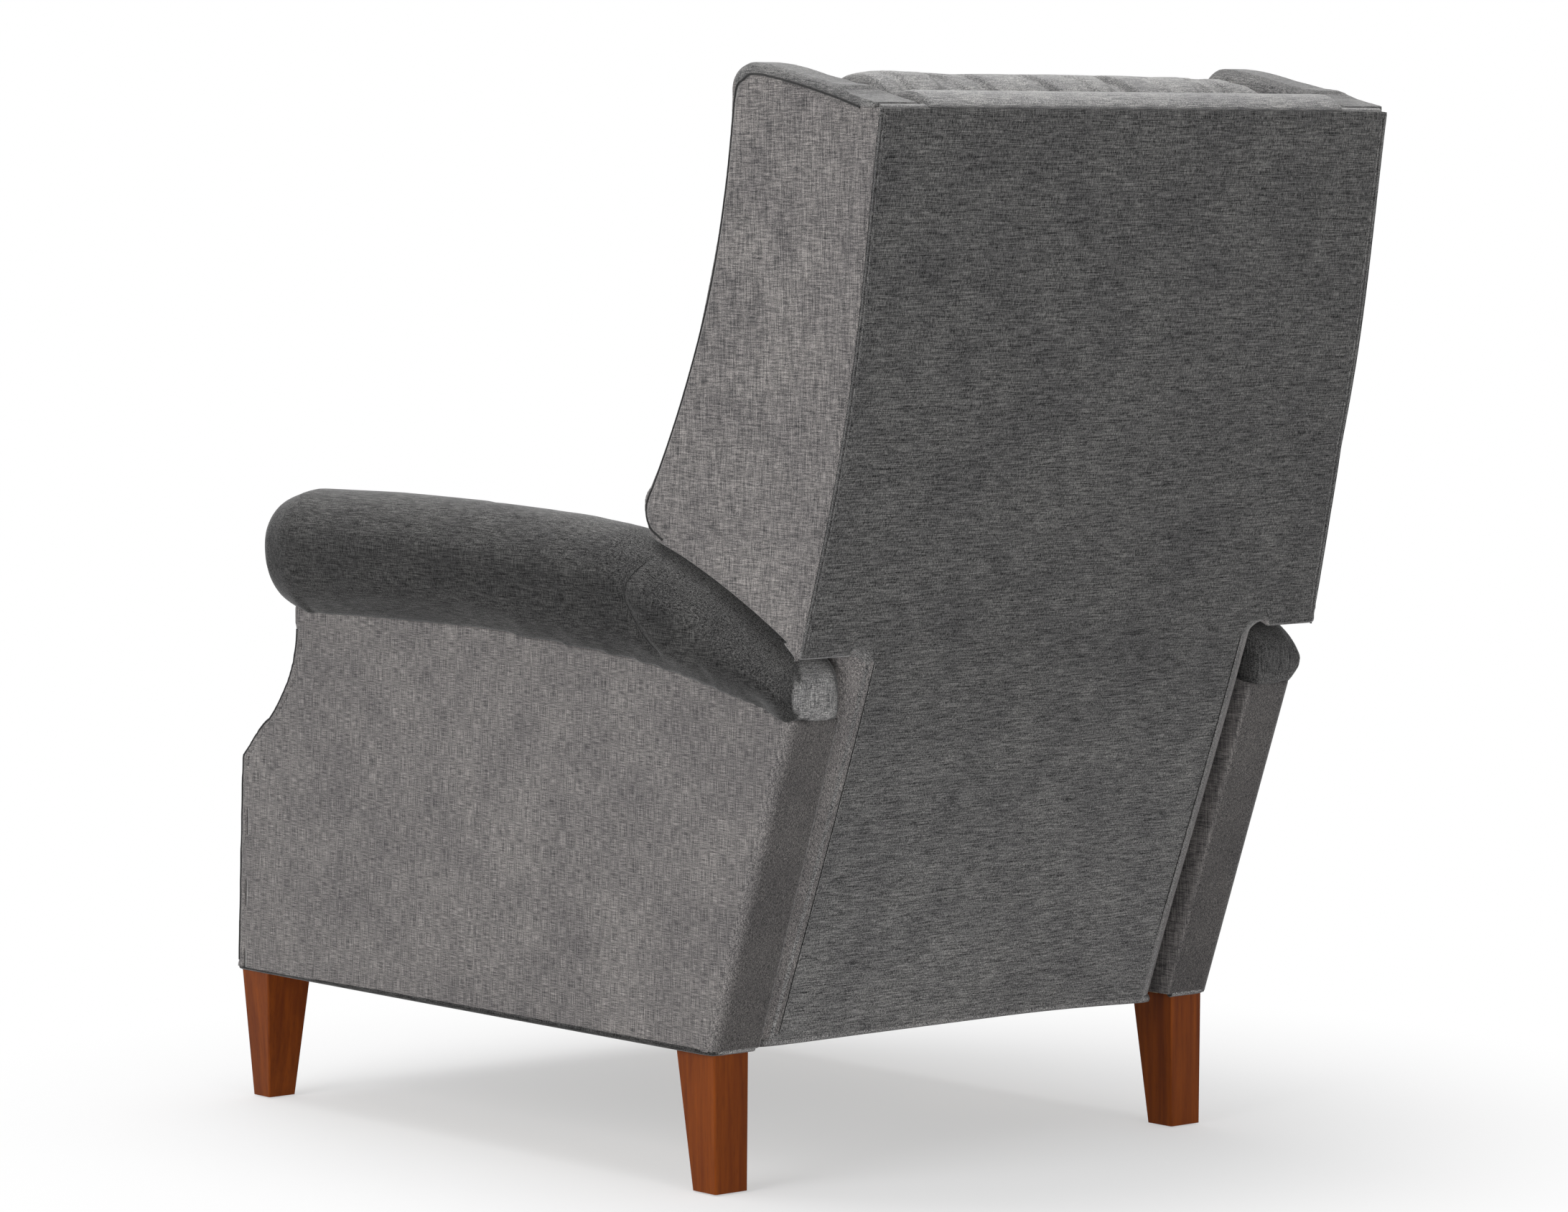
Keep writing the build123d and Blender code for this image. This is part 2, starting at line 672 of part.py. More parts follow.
# Hinge brackets on the outer faces of the stiles
bracket_top = (back_bend[0] - 8 * hinge_eye, back_bend[1] - 11 * hinge_eye)
with BuildPart() as back_bracket:
    with BuildSketch(Plane.YZ.offset(layer(3))):
        bar(back_hinge, bracket_top, hinge_eye)
        holes(pin_hole, back_hinge)
    extrude(amount=plate)
save_pair(back_bracket.part, "back_bracket")

# Points of the wing outline: lower edge over the arm, tip, front edge and top edge
wing_rear_y = arm_rear_top[0] + 0.1 * roll_height
wing_far_y = back_high[0] + back_panel
wing_under = ((wing_rear_y + wing_tip_y) / 2, seam_z + 0.453 * roll_height + wing_gap)
wing_heel = (wing_tip_y + wing_nose, seam_z + 0.742 * roll_height + wing_gap)
wing_tip_z = wing_heel[1] + 0.226 * roll_height
wing_toe = (wing_tip_y + 0.4 * wing_nose, wing_heel[1] + 0.406 * roll_height)
wing_brow = (wing_front_y, overall_height - 0.6 * wing_crown)
wing_front = ((wing_toe[0] + wing_brow[0]) / 2 + wing_hollow, (wing_toe[1] + wing_brow[1]) / 2)
wing_corner = (wing_front_y + 0.18 * wing_crown, overall_height - 0.18 * wing_crown)
wing_crest_y = wing_front_y + 0.6 * wing_crown
wing_top = ((wing_crest_y + wing_far_y) / 2, (overall_height + back_high[1]) / 2 + 0.2 * wing_crown)


def wing_outline(inset):
    """Side outline of a wing, drawn in by the inset at its free edges."""
    heel = (wing_heel[0] + 0.4 * inset, wing_heel[1] + 0.9 * inset)
    under = (wing_under[0] + 0.4 * inset, wing_under[1] + 0.9 * inset)
    toe = (wing_toe[0] + inset, wing_toe[1])
    front = (wing_front[0] + inset, wing_front[1])
    brow = (wing_brow[0] + inset, wing_brow[1])
    corner = (wing_corner[0] + 0.7 * inset, wing_corner[1] - 0.7 * inset)
    crest = (wing_crest_y, overall_height - inset)
    tail = (wing_far_y, back_high[1] - inset)
    with BuildSketch() as outline:
        with BuildLine():
            ThreePointArc((wing_rear_y, wing_low + inset), under, heel)
            ThreePointArc(heel, (wing_tip_y + inset, wing_tip_z), toe)
            ThreePointArc(toe, front, brow)
            ThreePointArc(brow, corner, crest)
            ThreePointArc(crest, (wing_top[0], wing_top[1] - inset), tail)
            Polyline(tail, (wing_far_y, wing_low + inset), (wing_rear_y, wing_low + inset))
        make_face()
    return outline.sketch_local


# Room taken by the outside back, which the wings end against
with BuildPart() as back_mass:
    with BuildSketch(Plane.YZ.offset(-half_width - wing_thickness)):
        add(back_strip(frame_rear, -10 * back_panel, leg_height, back_high[1]))
    extrude(amount=2 * (half_width + wing_thickness))
    block(
        (-half_width - wing_thickness, back_high[0] - frame_rear, back_high[1] - touch),
        (half_width + wing_thickness, wing_far_y + back_panel, overall_height),
    )

# Board inside each wing
with BuildPart() as wing_core:
    with BuildSketch(Plane.YZ.offset(wing_board_inner)):
        Polygon(
            (wing_far_y, wing_low + wing_border),
            (wing_rear_y, wing_low + wing_border),
            (wing_under[0], wing_under[1] + wing_border),
            (wing_heel[0] + wing_border, wing_heel[1] + wing_border),
            (wing_toe[0] + wing_border, wing_toe[1]),
            (wing_front[0] + wing_border, wing_front[1]),
            (wing_brow[0] + wing_border, wing_brow[1] - wing_border),
            (wing_far_y, wing_brow[1] - wing_border),
            align=None,
        )
    extrude(amount=wing_board)
    add(back_mass.part, mode=Mode.SUBTRACT)
save_pair(wing_core.part, "wing_board")

# Wing pads, rounded all round, with the board let in from behind
wing_sections = ((0, 0.33), (0.1, 0.13), (0.3, 0), (0.83, 0), (0.95, 0.05), (1, 0.15))
with BuildPart() as wing_pad:
    for share, inset in wing_sections:
        with BuildSketch(Plane.YZ.offset(wing_inner + share * wing_thickness)):
            add(wing_outline(inset * wing_thickness))
    loft(ruled=True)
    add(back_mass.part, mode=Mode.SUBTRACT)
    add(wing_core.part, mode=Mode.SUBTRACT)
    add(back_frame.part, mode=Mode.SUBTRACT)
save_pair(wing_pad.part, "wing_pad")

# Border roll along the top edge of the back
roll_start = (back_high[0] - top_roll_depth, back_high[1] + 0.25 * top_roll_rise)
roll_peak = (back_high[0] - 0.55 * top_roll_depth, back_high[1] + top_roll_rise)
with BuildPart() as back_top_roll:
    with BuildSketch(Plane.YZ.offset(touch - wing_inner)):
        with BuildLine():
            Polyline(back_high, (roll_start[0], back_high[1]), roll_start)
            ThreePointArc(roll_start, roll_peak, back_high)
        make_face()
    extrude(amount=2 * (wing_inner - touch))
save(back_top_roll.part, "back_top_roll")

# Inside back cushion: lumbar swell below, crown across and a rounded top
pillow_low = cushion_top + pillow_gap
pillow_high = back_high[1] - pillow_drop
pillow_half = seat_half - side_gap
lumbar_z = pillow_low + lumbar_rise
pillow_brow_y = wing_front_y + pillow_lip
pillow_seat = (lumbar_y + pillow_lip, pillow_low)
pillow_heel = (back_bend[0] - back_panel - pillow_gap, pillow_low)
pillow_back = (back_high[0] - top_roll_depth, pillow_high)
pillow_half_shares = ((1, 0), (0.97, 0.3), (0.88, 0.58), (0.7, 0.81), (0.4, 0.95))
pillow_shares = [(-share, grow) for share, grow in pillow_half_shares] + [(0, 1)]
pillow_shares += pillow_half_shares[::-1]
with BuildPart() as back_cushion:
    for share, grow in pillow_shares:
        swell = grow * cushion_crown
        brow = (pillow_brow_y - 0.24 * swell, pillow_high + pillow_drop / 2)
        crest = (back_high[0] - 1.8 * top_roll_depth, pillow_high + 2 * pillow_drop + 0.5 * swell)
        waist_y = (pillow_brow_y + lumbar_y - pillow_drop) / 2 - swell
        waist = (waist_y, (lumbar_z + pillow_high) / 2 - pillow_drop)
        lumbar = (lumbar_y - swell, lumbar_z)
        chin = (lumbar_y - side_gap - swell, pillow_low + lumbar_rise / 3)
        with BuildSketch(Plane.YZ.offset(share * pillow_half)):
            with BuildLine():
                Polyline(pillow_seat, pillow_heel, pillow_back)
                ThreePointArc(pillow_back, crest, brow)
                ThreePointArc(brow, waist, lumbar)
                ThreePointArc(lumbar, chin, pillow_seat)
            make_face()
    loft(ruled=True)
    with BuildSketch(Plane.YZ.offset(-half_width)):
        add(back_strip(frame_front + strap_thickness, -4 * back_panel, leg_height, back_high[1]))
    extrude(amount=2 * half_width, mode=Mode.SUBTRACT)
save(back_cushion.part, "back_cushion")

# First scissor pair: one link turns on the seat plate, the other rolls in the slot
with BuildPart() as scissor_lift_link:
    with BuildSketch(Plane.YZ.offset(layer(4))):
        bar(scissor_pivot, lower_knee, scissor_eye)
        holes(pin_hole, scissor_pivot, first_cross, lower_knee)
    extrude(amount=plate)
save_pair(scissor_lift_link.part, "scissor_lift_link")
with BuildPart() as scissor_slide_link:
    with BuildSketch(Plane.YZ.offset(layer(3))):
        bar(slide, upper_knee, scissor_eye)
        holes(pin_hole, slide, first_cross, upper_knee)
    extrude(amount=plate)
save_pair(scissor_slide_link.part, "scissor_slide_link")

# Short link of the second scissor pair
with BuildPart() as scissor_stay_link:
    with BuildSketch(Plane.YZ.offset(layer(3))):
        bar(lower_knee, second_cross, scissor_eye)
        holes(pin_hole, lower_knee, second_cross)
    extrude(amount=plate)
save_pair(scissor_stay_link.part, "scissor_stay_link")

# Cross tube between the left and right lift links
lift_tube = polar(scissor_pivot, -0.3 * scissor_length, scissor_closed)
with BuildPart() as scissor_cross_tube:
    rod(lift_tube, -layer(4), layer(4), scissor_tube)
    rod(lift_tube, -layer(4), layer(4), scissor_tube - tube_wall, mode=Mode.SUBTRACT)
save(scissor_cross_tube.part, "scissor_cross_tube")

# Rivets of the slide links with the rollers that run in the slots
with BuildPart() as scissor_slide_rivets:
    rivet(first_cross, layer(4), layer(3) + plate)
    rivet(upper_knee, layer(4), layer(3) + plate)
    rod(slide, layer(3), layer(2) + plate + head_height, pin_radius)
    rod(slide, layer(2) - plate_gap / 2, layer(2) + plate + head_height, roller_radius)
    mirror(about=Plane.YZ)
save(scissor_slide_rivets.part, "scissor_slide_rivets")

# Rivets of the stay links
with BuildPart() as scissor_stay_rivets:
    rivet(lower_knee, layer(4), layer(3) + plate)
    rivet(second_cross, layer(4), layer(3) + plate)
    mirror(about=Plane.YZ)
save(scissor_stay_rivets.part, "scissor_stay_rivets")

# Footrest plane: its rear face, leaning with the lower edge forward
lean = radians(footrest_lean)
footrest_mid = (footrest_low + footrest_high) / 2
footrest_back_y = upper_knee[0] - footrest_offset - (upper_knee[1] - footrest_mid) * tan(lean)
footrest_plane = Plane(
    origin=(0, footrest_back_y, footrest_mid), x_dir=(1, 0, 0), z_dir=(0, -cos(lean), sin(lean))
)
footrest_tall = (footrest_high - footrest_low) / cos(lean)
footrest_wide = 2 * (seat_half - 2 * seat_room)

# Footrest links with a web and flange screwed to the board
flange_half = 0.325 * footrest_tall
flange_low = footrest_mid - flange_half
flange_high = footrest_mid + flange_half
link_lean = reach / drop
with BuildPart() as footrest_link:
    with BuildSketch(Plane.YZ.offset(layer(4))):
        bar(upper_knee, board_end, scissor_eye)
        Polygon(
            (footrest_back_y - flange_half * tan(lean), flange_low),
            (footrest_back_y + flange_half * tan(lean), flange_high),
            (second_cross[0] + (flange_high - second_cross[1]) * link_lean, flange_high),
            (second_cross[0] + (flange_low - second_cross[1]) * link_lean, flange_low),
            align=None,
        )
        holes(pin_hole, upper_knee, second_cross)
    extrude(amount=plate)
    with BuildSketch(footrest_plane.offset(-plate)):
        with Locations((layer(4) + plate - footrest_flange / 2, 0)):
            Rectangle(footrest_flange, 2 * flange_half - plate)
    extrude(amount=plate)
save_pair(footrest_link.part, "footrest_link")

# Footrest board
with BuildPart() as footrest_panel:
    with BuildSketch(footrest_plane):
        RectangleRounded(footrest_wide - 1.6 * footrest_board, footrest_tall - footrest_board, footrest_board)
    extrude(amount=footrest_board)
save(footrest_panel.part, "footrest_board")

# Footrest pad, crowned: share of its thickness, inset and corner radius as shares of the thickness
pad_steps = ((0, 0.2, 0.5), (0.3, 0, 0.6), (0.6, 0.1, 0.7), (0.85, 0.5, 0.9), (1, 1.3, 1.2))
with BuildPart() as footrest_cushion:
    for share, inset, corner in pad_steps:
        margin = 2 * inset * footrest_pad
        with BuildSketch(footrest_plane.offset(footrest_board + share * footrest_pad)):
            RectangleRounded(footrest_wide - margin, footrest_tall - margin, corner * footrest_pad)
    loft(ruled=True)
save(footrest_cushion.part, "footrest_pad")
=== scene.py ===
import json
import math

import bmesh
import bpy
import numpy as np
from mathutils import Matrix, Vector, kdtree
from mathutils.bvhtree import BVHTree


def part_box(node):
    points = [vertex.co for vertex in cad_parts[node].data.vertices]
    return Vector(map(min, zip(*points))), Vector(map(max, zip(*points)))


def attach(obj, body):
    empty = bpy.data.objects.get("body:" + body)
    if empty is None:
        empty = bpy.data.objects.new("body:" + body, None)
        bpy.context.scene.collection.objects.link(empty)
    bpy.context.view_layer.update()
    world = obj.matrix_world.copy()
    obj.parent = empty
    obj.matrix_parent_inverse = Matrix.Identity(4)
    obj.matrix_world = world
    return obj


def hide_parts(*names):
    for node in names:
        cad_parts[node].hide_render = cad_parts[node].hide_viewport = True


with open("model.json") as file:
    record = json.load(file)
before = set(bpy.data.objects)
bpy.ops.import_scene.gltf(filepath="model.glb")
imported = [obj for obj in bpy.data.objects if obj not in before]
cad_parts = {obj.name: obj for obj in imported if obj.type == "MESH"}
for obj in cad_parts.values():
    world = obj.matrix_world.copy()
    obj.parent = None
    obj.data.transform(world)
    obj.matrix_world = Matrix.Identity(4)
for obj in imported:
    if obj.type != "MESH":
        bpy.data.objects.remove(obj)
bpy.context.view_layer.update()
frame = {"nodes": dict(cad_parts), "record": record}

# Grey fabric wing recliner on wooden legs, seen from behind its left arm.
# Metres, floor at Z 0, chair facing -Y with its left arm on +X.

nodes = frame["nodes"]
scene = bpy.context.scene
scene.view_settings.view_transform = "Standard"
SIDES = ("left", "right")
MIRROR = np.array((-1, 1, 1))
SIDE_FACE = 0.3405  # X of the seams on the outer faces of arms and wings
HEM_LEVEL = 0.1435  # height of the lower hems, just above the legs
WING_LOW = 0.545  # height at which the back gets wide over the arms
KEPT_FACES = 0.35  # share of the faces kept where covers are thinned
LINE_STEP = 0.004  # spacing of the points along seams and hems
SET_IN = 0.0015  # how far an arm's front panel is set into its neighbours


# Camera at the photograph's angle
def add_camera():
    yaw = math.radians(40.3)
    pitch = math.radians(4.413)
    camera = bpy.data.cameras.new("camera")
    camera.sensor_width = 36.0
    camera.lens = 131.73
    holder = bpy.data.objects.new("camera", camera)
    holder.location = (3.8704, 4.5565, 1.0081)
    aim = Vector((-math.sin(yaw) * math.cos(pitch), -math.cos(yaw) * math.cos(pitch), -math.sin(pitch)))
    holder.rotation_euler = aim.to_track_quat("-Z", "Y").to_euler()
    scene.collection.objects.link(holder)
    scene.camera = holder


# Node materials
def new_material(name):
    material = bpy.data.materials.new(name)
    material.use_nodes = True
    tree = material.node_tree
    return material, tree, tree.nodes["Principled BSDF"]


def noise(tree, scale, stretch=(1, 1, 1), detail=2.0):
    """Noise over the piece's own coordinates, stretched along its axes."""
    place = tree.nodes.new("ShaderNodeTexCoord")
    mapping = tree.nodes.new("ShaderNodeMapping")
    mapping.inputs["Scale"].default_value = stretch
    texture = tree.nodes.new("ShaderNodeTexNoise")
    texture.inputs["Scale"].default_value = scale
    texture.inputs["Detail"].default_value = detail
    tree.links.new(place.outputs["Object"], mapping.inputs["Vector"])
    tree.links.new(mapping.outputs["Vector"], texture.inputs["Vector"])
    return texture.outputs["Fac"]


def ramp(tree, value, stops):
    """Colour ramp over a value: stops are (place, colour)."""
    node = tree.nodes.new("ShaderNodeValToRGB")
    bar = node.color_ramp
    while len(bar.elements) < len(stops):
        bar.elements.new(0.5)
    for element, (place, colour) in zip(bar.elements, stops):
        element.position = place
        element.color = (*colour, 1)
    tree.links.new(value, node.inputs["Fac"])
    return node.outputs["Color"]


def math_node(tree, kind, a, b):
    node = tree.nodes.new("ShaderNodeMath")
    node.operation = kind
    for socket, value in zip(node.inputs, (a, b)):
        if isinstance(value, (int, float)):
            socket.default_value = value
        else:
            tree.links.new(value, socket)
    return node.outputs[0]


def mixed(tree, kind, share, a, b):
    """Mix of two colours by a blend kind."""
    node = tree.nodes.new("ShaderNodeMix")
    node.data_type = "RGBA"
    node.blend_type = kind
    node.inputs[0].default_value = share
    tree.links.new(a, node.inputs[6])
    tree.links.new(b, node.inputs[7])
    return node.outputs[2]


def bumped(tree, shader, height, strength, distance):
    node = tree.nodes.new("ShaderNodeBump")
    node.inputs["Strength"].default_value = strength
    node.inputs["Distance"].default_value = distance
    tree.links.new(height, node.inputs["Height"])
    tree.links.new(node.outputs["Normal"], shader.inputs["Normal"])


def threads(tree, axis, length):
    """Noise drawn out along one axis (0 X, 1 Y, 2 Z) into threads under a millimetre thick."""
    threads_per_metre = 1300
    stretch = [threads_per_metre] * 3
    stretch[axis] = 1 / length
    return noise(tree, 1.0, stretch, 2.0)


def normal_parts(tree):
    """X, Y and Z of the surface normal in the piece's own axes."""
    place = tree.nodes.new("ShaderNodeTexCoord")
    parts = tree.nodes.new("ShaderNodeSeparateXYZ")
    tree.links.new(place.outputs["Normal"], parts.inputs["Vector"])
    return parts


# Mask for painted light and shade: the fabric takes another tone where its surface turns towards the rear or
# upwards
def facing(tree, axis, start):
    """0 on most of the surface, rising from the start to 1 where it faces the rear ("Y") or upwards ("Z")."""
    parts = normal_parts(tree)
    aside = math_node(tree, "MULTIPLY", math_node(tree, "ABSOLUTE", parts.outputs["X"], 0), 0.9)
    turn = tree.nodes.new("ShaderNodeMapRange")
    turn.interpolation_type = "SMOOTHSTEP"
    turn.inputs["From Min"].default_value = start
    turn.inputs["From Max"].default_value = 0.85
    tree.links.new(math_node(tree, "SUBTRACT", parts.outputs[axis], aside), turn.inputs["Value"])
    return turn.outputs["Result"]


def grey(tone):
    return (tone,) * 3


def fabric(
    name, tone, painted_turned_tone, axis, slubs, cross, contrast, crown=None, tint=(1, 1, 1), lift=None, start=0.3
):
    """Chenille: fine grain, slubs and shorter cross threads along two axes, soft mottling, and painted light
    and
    shade: the tone changes where the surface turns towards an axis (from the start on) and, with a crown
    tone, gets a painted highlight upwards. Lift holds heights and the shares by which painted floor bounce
    light makes the cloth paler there."""
    material, tree, shader = new_material(name)
    slub_share, cross_share, grain_share = 0.36, 0.35, 0.29
    long = math_node(tree, "MULTIPLY", threads(tree, slubs, length=0.018), slub_share)
    short = math_node(tree, "MULTIPLY", threads(tree, cross, length=0.014), cross_share)
    grain = math_node(tree, "MULTIPLY", noise(tree, 1100.0, detail=2.0), grain_share)
    weave = math_node(tree, "ADD", math_node(tree, "ADD", long, short), grain)
    dark, light = 1 - 0.6 * contrast, 1 + contrast
    dark_yarn, mid_yarn = (dark * 0.96, dark, dark * 1.04), (0.97, 0.955, 0.95)
    light_yarn = (light, light * 0.98, light * 0.95)
    yarn = ramp(tree, weave, ((0.39, dark_yarn), (0.5, mid_yarn), (0.62, light_yarn)))
    mottle = noise(tree, 16.0, detail=6.0)
    patches = ramp(tree, mottle, ((0.32, (0.86, 0.86, 0.87)), (0.68, (1.13, 1.13, 1.12))))
    tones = [tuple(level * part for part in tint) for level in (tone, painted_turned_tone)]
    # Painted light and shade: one tone on faces turned aside, another where they turn towards the axis
    painted_light_tone = ramp(tree, facing(tree, axis, start), ((0.0, tones[0]), (1.0, tones[1])))
    # Painted floor bounce light: the cloth gets paler towards the bottom by these heights
    if lift:
        place, parts = tree.nodes.new("ShaderNodeTexCoord"), tree.nodes.new("ShaderNodeSeparateXYZ")
        tree.links.new(place.outputs["Object"], parts.inputs["Vector"])
        stops = [(height, grey(share)) for height, share in lift]
        painted_light_tone = mixed(tree, "MULTIPLY", 1.0, painted_light_tone, ramp(tree, parts.outputs["Z"], stops))
    # Painted highlight: upward faces lighten towards the crown tone
    if crown:
        height = math_node(tree, "MULTIPLY_ADD", normal_parts(tree).outputs["Z"], 0.7)
        height.node.inputs[2].default_value = 0.3
        tones = ((0.2, tone), (0.45, 1.3 * tone), (0.7, 1.65 * tone), (1.0, crown))
        stops = [(place, grey(level)) for place, level in tones]
        painted_light_tone = mixed(tree, "LIGHTEN", 1.0, painted_light_tone, ramp(tree, height, stops))
    cloth_colour = mixed(tree, "MULTIPLY", 1.0, yarn, patches)
    tree.links.new(mixed(tree, "MULTIPLY", 1.0, cloth_colour, painted_light_tone), shader.inputs["Base Color"])
    shader.inputs["Roughness"].default_value = 0.95
    shader.inputs["Specular IOR Level"].default_value = 0.1
    shader.inputs["Sheen Weight"].default_value = 0.45
    shader.inputs["Sheen Roughness"].default_value = 0.3
    bumped(tree, shader, weave, 0.6, 0.0012)
    return material


def wood(name, dark, light, rough, coat):
    """Straight grain along the piece's height with fine pores."""
    material, tree, shader = new_material(name)
    grain = noise(tree, 1.0, (150, 150, 7), 5.0)
    bands = noise(tree, 1.0, (34, 34, 2.5), 3.0)
    pores = noise(tree, 1.0, (900, 900, 60), 2.0)
    fine, broad = math_node(tree, "MULTIPLY", grain, 0.6), math_node(tree, "MULTIPLY", bands, 0.4)
    colour = ramp(tree, math_node(tree, "ADD", fine, broad), ((0.34, dark), (0.62, light)))
    specks = ramp(tree, pores, ((0.3, (0.72, 0.7, 0.68)), (0.48, (1, 1, 1))))
    tree.links.new(mixed(tree, "MULTIPLY", 0.7, colour, specks), shader.inputs["Base Color"])
    shader.inputs["Roughness"].default_value = rough
    shader.inputs["Specular IOR Level"].default_value = 0.12
    shader.inputs["Coat Weight"].default_value = coat
    shader.inputs["Coat Roughness"].default_value = 0.3
    bumped(tree, shader, pores, 0.12, 0.0006)
    return material


def metal(name, dark, light, rough, metallic):
    """Steel with soft smears and fine scratches."""
    material, tree, shader = new_material(name)
    smear = noise(tree, 60.0, detail=5.0)
    scratch = noise(tree, 1.0, (700, 60, 700), 2.0)
    tree.links.new(ramp(tree, smear, ((0.3, dark), (0.7, light))), shader.inputs["Base Color"])
    shader.inputs["Metallic"].default_value = metallic
    spread = math_node(tree, "MULTIPLY_ADD", scratch, 0.25)
    spread.node.inputs[2].default_value = rough
    tree.links.new(spread, shader.inputs["Roughness"])
    bumped(tree, shader, scratch, 0.08, 0.0004)
    return material


def strap_cloth(name):
    """Ribbed elastic strap."""
    material, tree, shader = new_material(name)
    ribs = noise(tree, 1.0, (900, 300, 900), 1.0)
    colour = ramp(tree, ribs, ((0.35, (0.03, 0.028, 0.026)), (0.65, (0.13, 0.12, 0.11))))
    tree.links.new(colour, shader.inputs["Base Color"])
    shader.inputs["Roughness"].default_value = 0.85
    bumped(tree, shader, ribs, 0.5, 0.0008)
    return material


def plastic(name):
    """Dark moulded plastic."""
    material, tree, shader = new_material(name)
    grain = noise(tree, 500.0, detail=3.0)
    colour = ramp(tree, grain, ((0.3, (0.045, 0.04, 0.035)), (0.7, (0.08, 0.07, 0.06))))
    tree.links.new(colour, shader.inputs["Base Color"])
    shader.inputs["Roughness"].default_value = 0.5
    bumped(tree, shader, grain, 0.2, 0.0003)
    return material


WARM = (1.03, 0.985, 0.975)
# Painted floor bounce light: heights and the shares by which the outside back gets paler towards the floor
PAINTED_FLOOR_BOUNCE = ((0.16, 1.65), (0.3, 1.4), (0.45, 1.15), (0.53, 1))
# Lit and shaded copies of one fabric: each second tone is painted light and shade where the surface turns to
# the rear, upwards for the top cloth, and each crown tone is a painted highlight on upward faces
cloth = fabric("upholstery_fabric", 0.17, 0.093, "Y", 0, 2, 1.5)
cloth_rear = fabric("upholstery_rear", 0.17, 0.093, "Y", 0, 2, 1.5, lift=PAINTED_FLOOR_BOUNCE)
cloth_side = fabric("upholstery_side", 0.162, 0.095, "Y", 2, 1, 1.2, tint=WARM, start=-0.45)
# Painted light: paler tones for the side-facing edges of the outside back
cloth_lit_edge = fabric("upholstery_lit_edge", 0.185, 0.15, "Y", 2, 1, 1.2, tint=WARM)
# Rolls: near-black painted shade where they face aside and down, a pale painted sheen where they face the
# rear, and a painted highlight on top; the roll's cloth also dresses the hems, the ridge cord and the seat
# piping
cloth_roll = fabric("upholstery_roll", 0.035, 0.22, "Y", 1, 2, 1.8, 0.1)
cloth_cap = fabric("upholstery_cap", 0.035, 0.22, "Y", 2, 0, 1.3, 0.1)
# Far roll: a shaded copy of the roll's cloth, its rear-facing tone painted darker
cloth_far_roll = fabric("upholstery_far_roll", 0.05, 0.085, "Y", 1, 2, 1.6, 0.088)
# Wings' inner and top faces: one flat tone, a little darker than the lit outer side: painted shade
cloth_band = fabric("upholstery_band", 0.15, 0.15, "Y", 1, 0, 1.3)
# Cushion, border and top cord: painted highlight, much paler where they face up
cloth_top = fabric("upholstery_top", 0.18, 0.285, "Z", 0, 1, 1.1)
# Near-black seam cords: painted shade along the seam lines
piping = fabric("upholstery_piping", 0.04, 0.04, "Y", 0, 2, 0.6)
SLOTS = {
    "leg_wood": wood("leg_wood", (0.115, 0.021, 0.001), (0.225, 0.05, 0.003), 0.5, 0.03),
    "frame_wood": wood("frame_wood", (0.4, 0.27, 0.15), (0.62, 0.47, 0.3), 0.75, 0.0),
    "mechanism_steel": metal("mechanism_steel", (0.018, 0.018, 0.02), (0.04, 0.04, 0.044), 0.32, 0.5),
    "bright_steel": metal("bright_steel", (0.42, 0.42, 0.44), (0.62, 0.62, 0.65), 0.22, 1.0),
    "webbing": strap_cloth("webbing"),
    "glide_plastic": plastic("glide_plastic"),
}


# Mesh tools
def add_object(name, mesh):
    piece = bpy.data.objects.new(name, mesh)
    scene.collection.objects.link(piece)
    return piece


def points_of(piece):
    return np.array([v.co for v in piece.data.vertices], float).reshape(-1, 3)


def move_points(piece, points):
    piece.data.vertices.foreach_set("co", np.asarray(points, np.float32).ravel())
    piece.data.update()


def normals_of(piece):
    return np.array([v.normal for v in piece.data.vertices], float).reshape(-1, 3)


def rising(values, start, span):
    """0 up to the start and 1 from a span beyond it."""
    return np.clip((values - start) / span, 0, 1)


def falling(values, end, span):
    """1 up to a span before the end and 0 from the end on."""
    return np.clip((end - values) / span, 0, 1)


def bake(piece):
    """Puts the result of the modifiers into the mesh."""
    graph = bpy.context.evaluated_depsgraph_get()
    mesh = bpy.data.meshes.new_from_object(piece.evaluated_get(graph))
    piece.modifiers.clear()
    piece.data = mesh


def joined(name, *names):
    """New piece with copies of the solids of these CAD nodes; a front panel is set into its neighbours."""
    together = bmesh.new()
    for node in names:
        copy = nodes[node].data.copy()
        if node.startswith("arm_front_panel"):
            copy.transform(Matrix.Translation((0, SET_IN, 0)))
        together.from_mesh(copy)
        bpy.data.meshes.remove(copy)
    mesh = bpy.data.meshes.new(name)
    together.to_mesh(mesh)
    together.free()
    return add_object(name, mesh)


def remesh(piece, voxel, rounds):
    """Even skin of small faces with rounded edges. Without a voxel size the edges keep their line."""
    skin = piece.modifiers.new("skin", "REMESH")
    if voxel:
        skin.mode = "VOXEL"
        skin.voxel_size = voxel
    else:
        skin.mode = "SHARP"
        skin.octree_depth = 8
        skin.scale = 0.99
        skin.use_remove_disconnected = False
    even = piece.modifiers.new("even", "SMOOTH")
    even.factor = 0.5
    even.iterations = rounds
    bake(piece)


def fit(piece, low, high):
    """Scales the piece into a box."""
    points = points_of(piece)
    least, most = points.min(0), points.max(0)
    share = (points - least) / (most - least)
    move_points(piece, np.array(low) + share * (np.array(high) - np.array(low)))


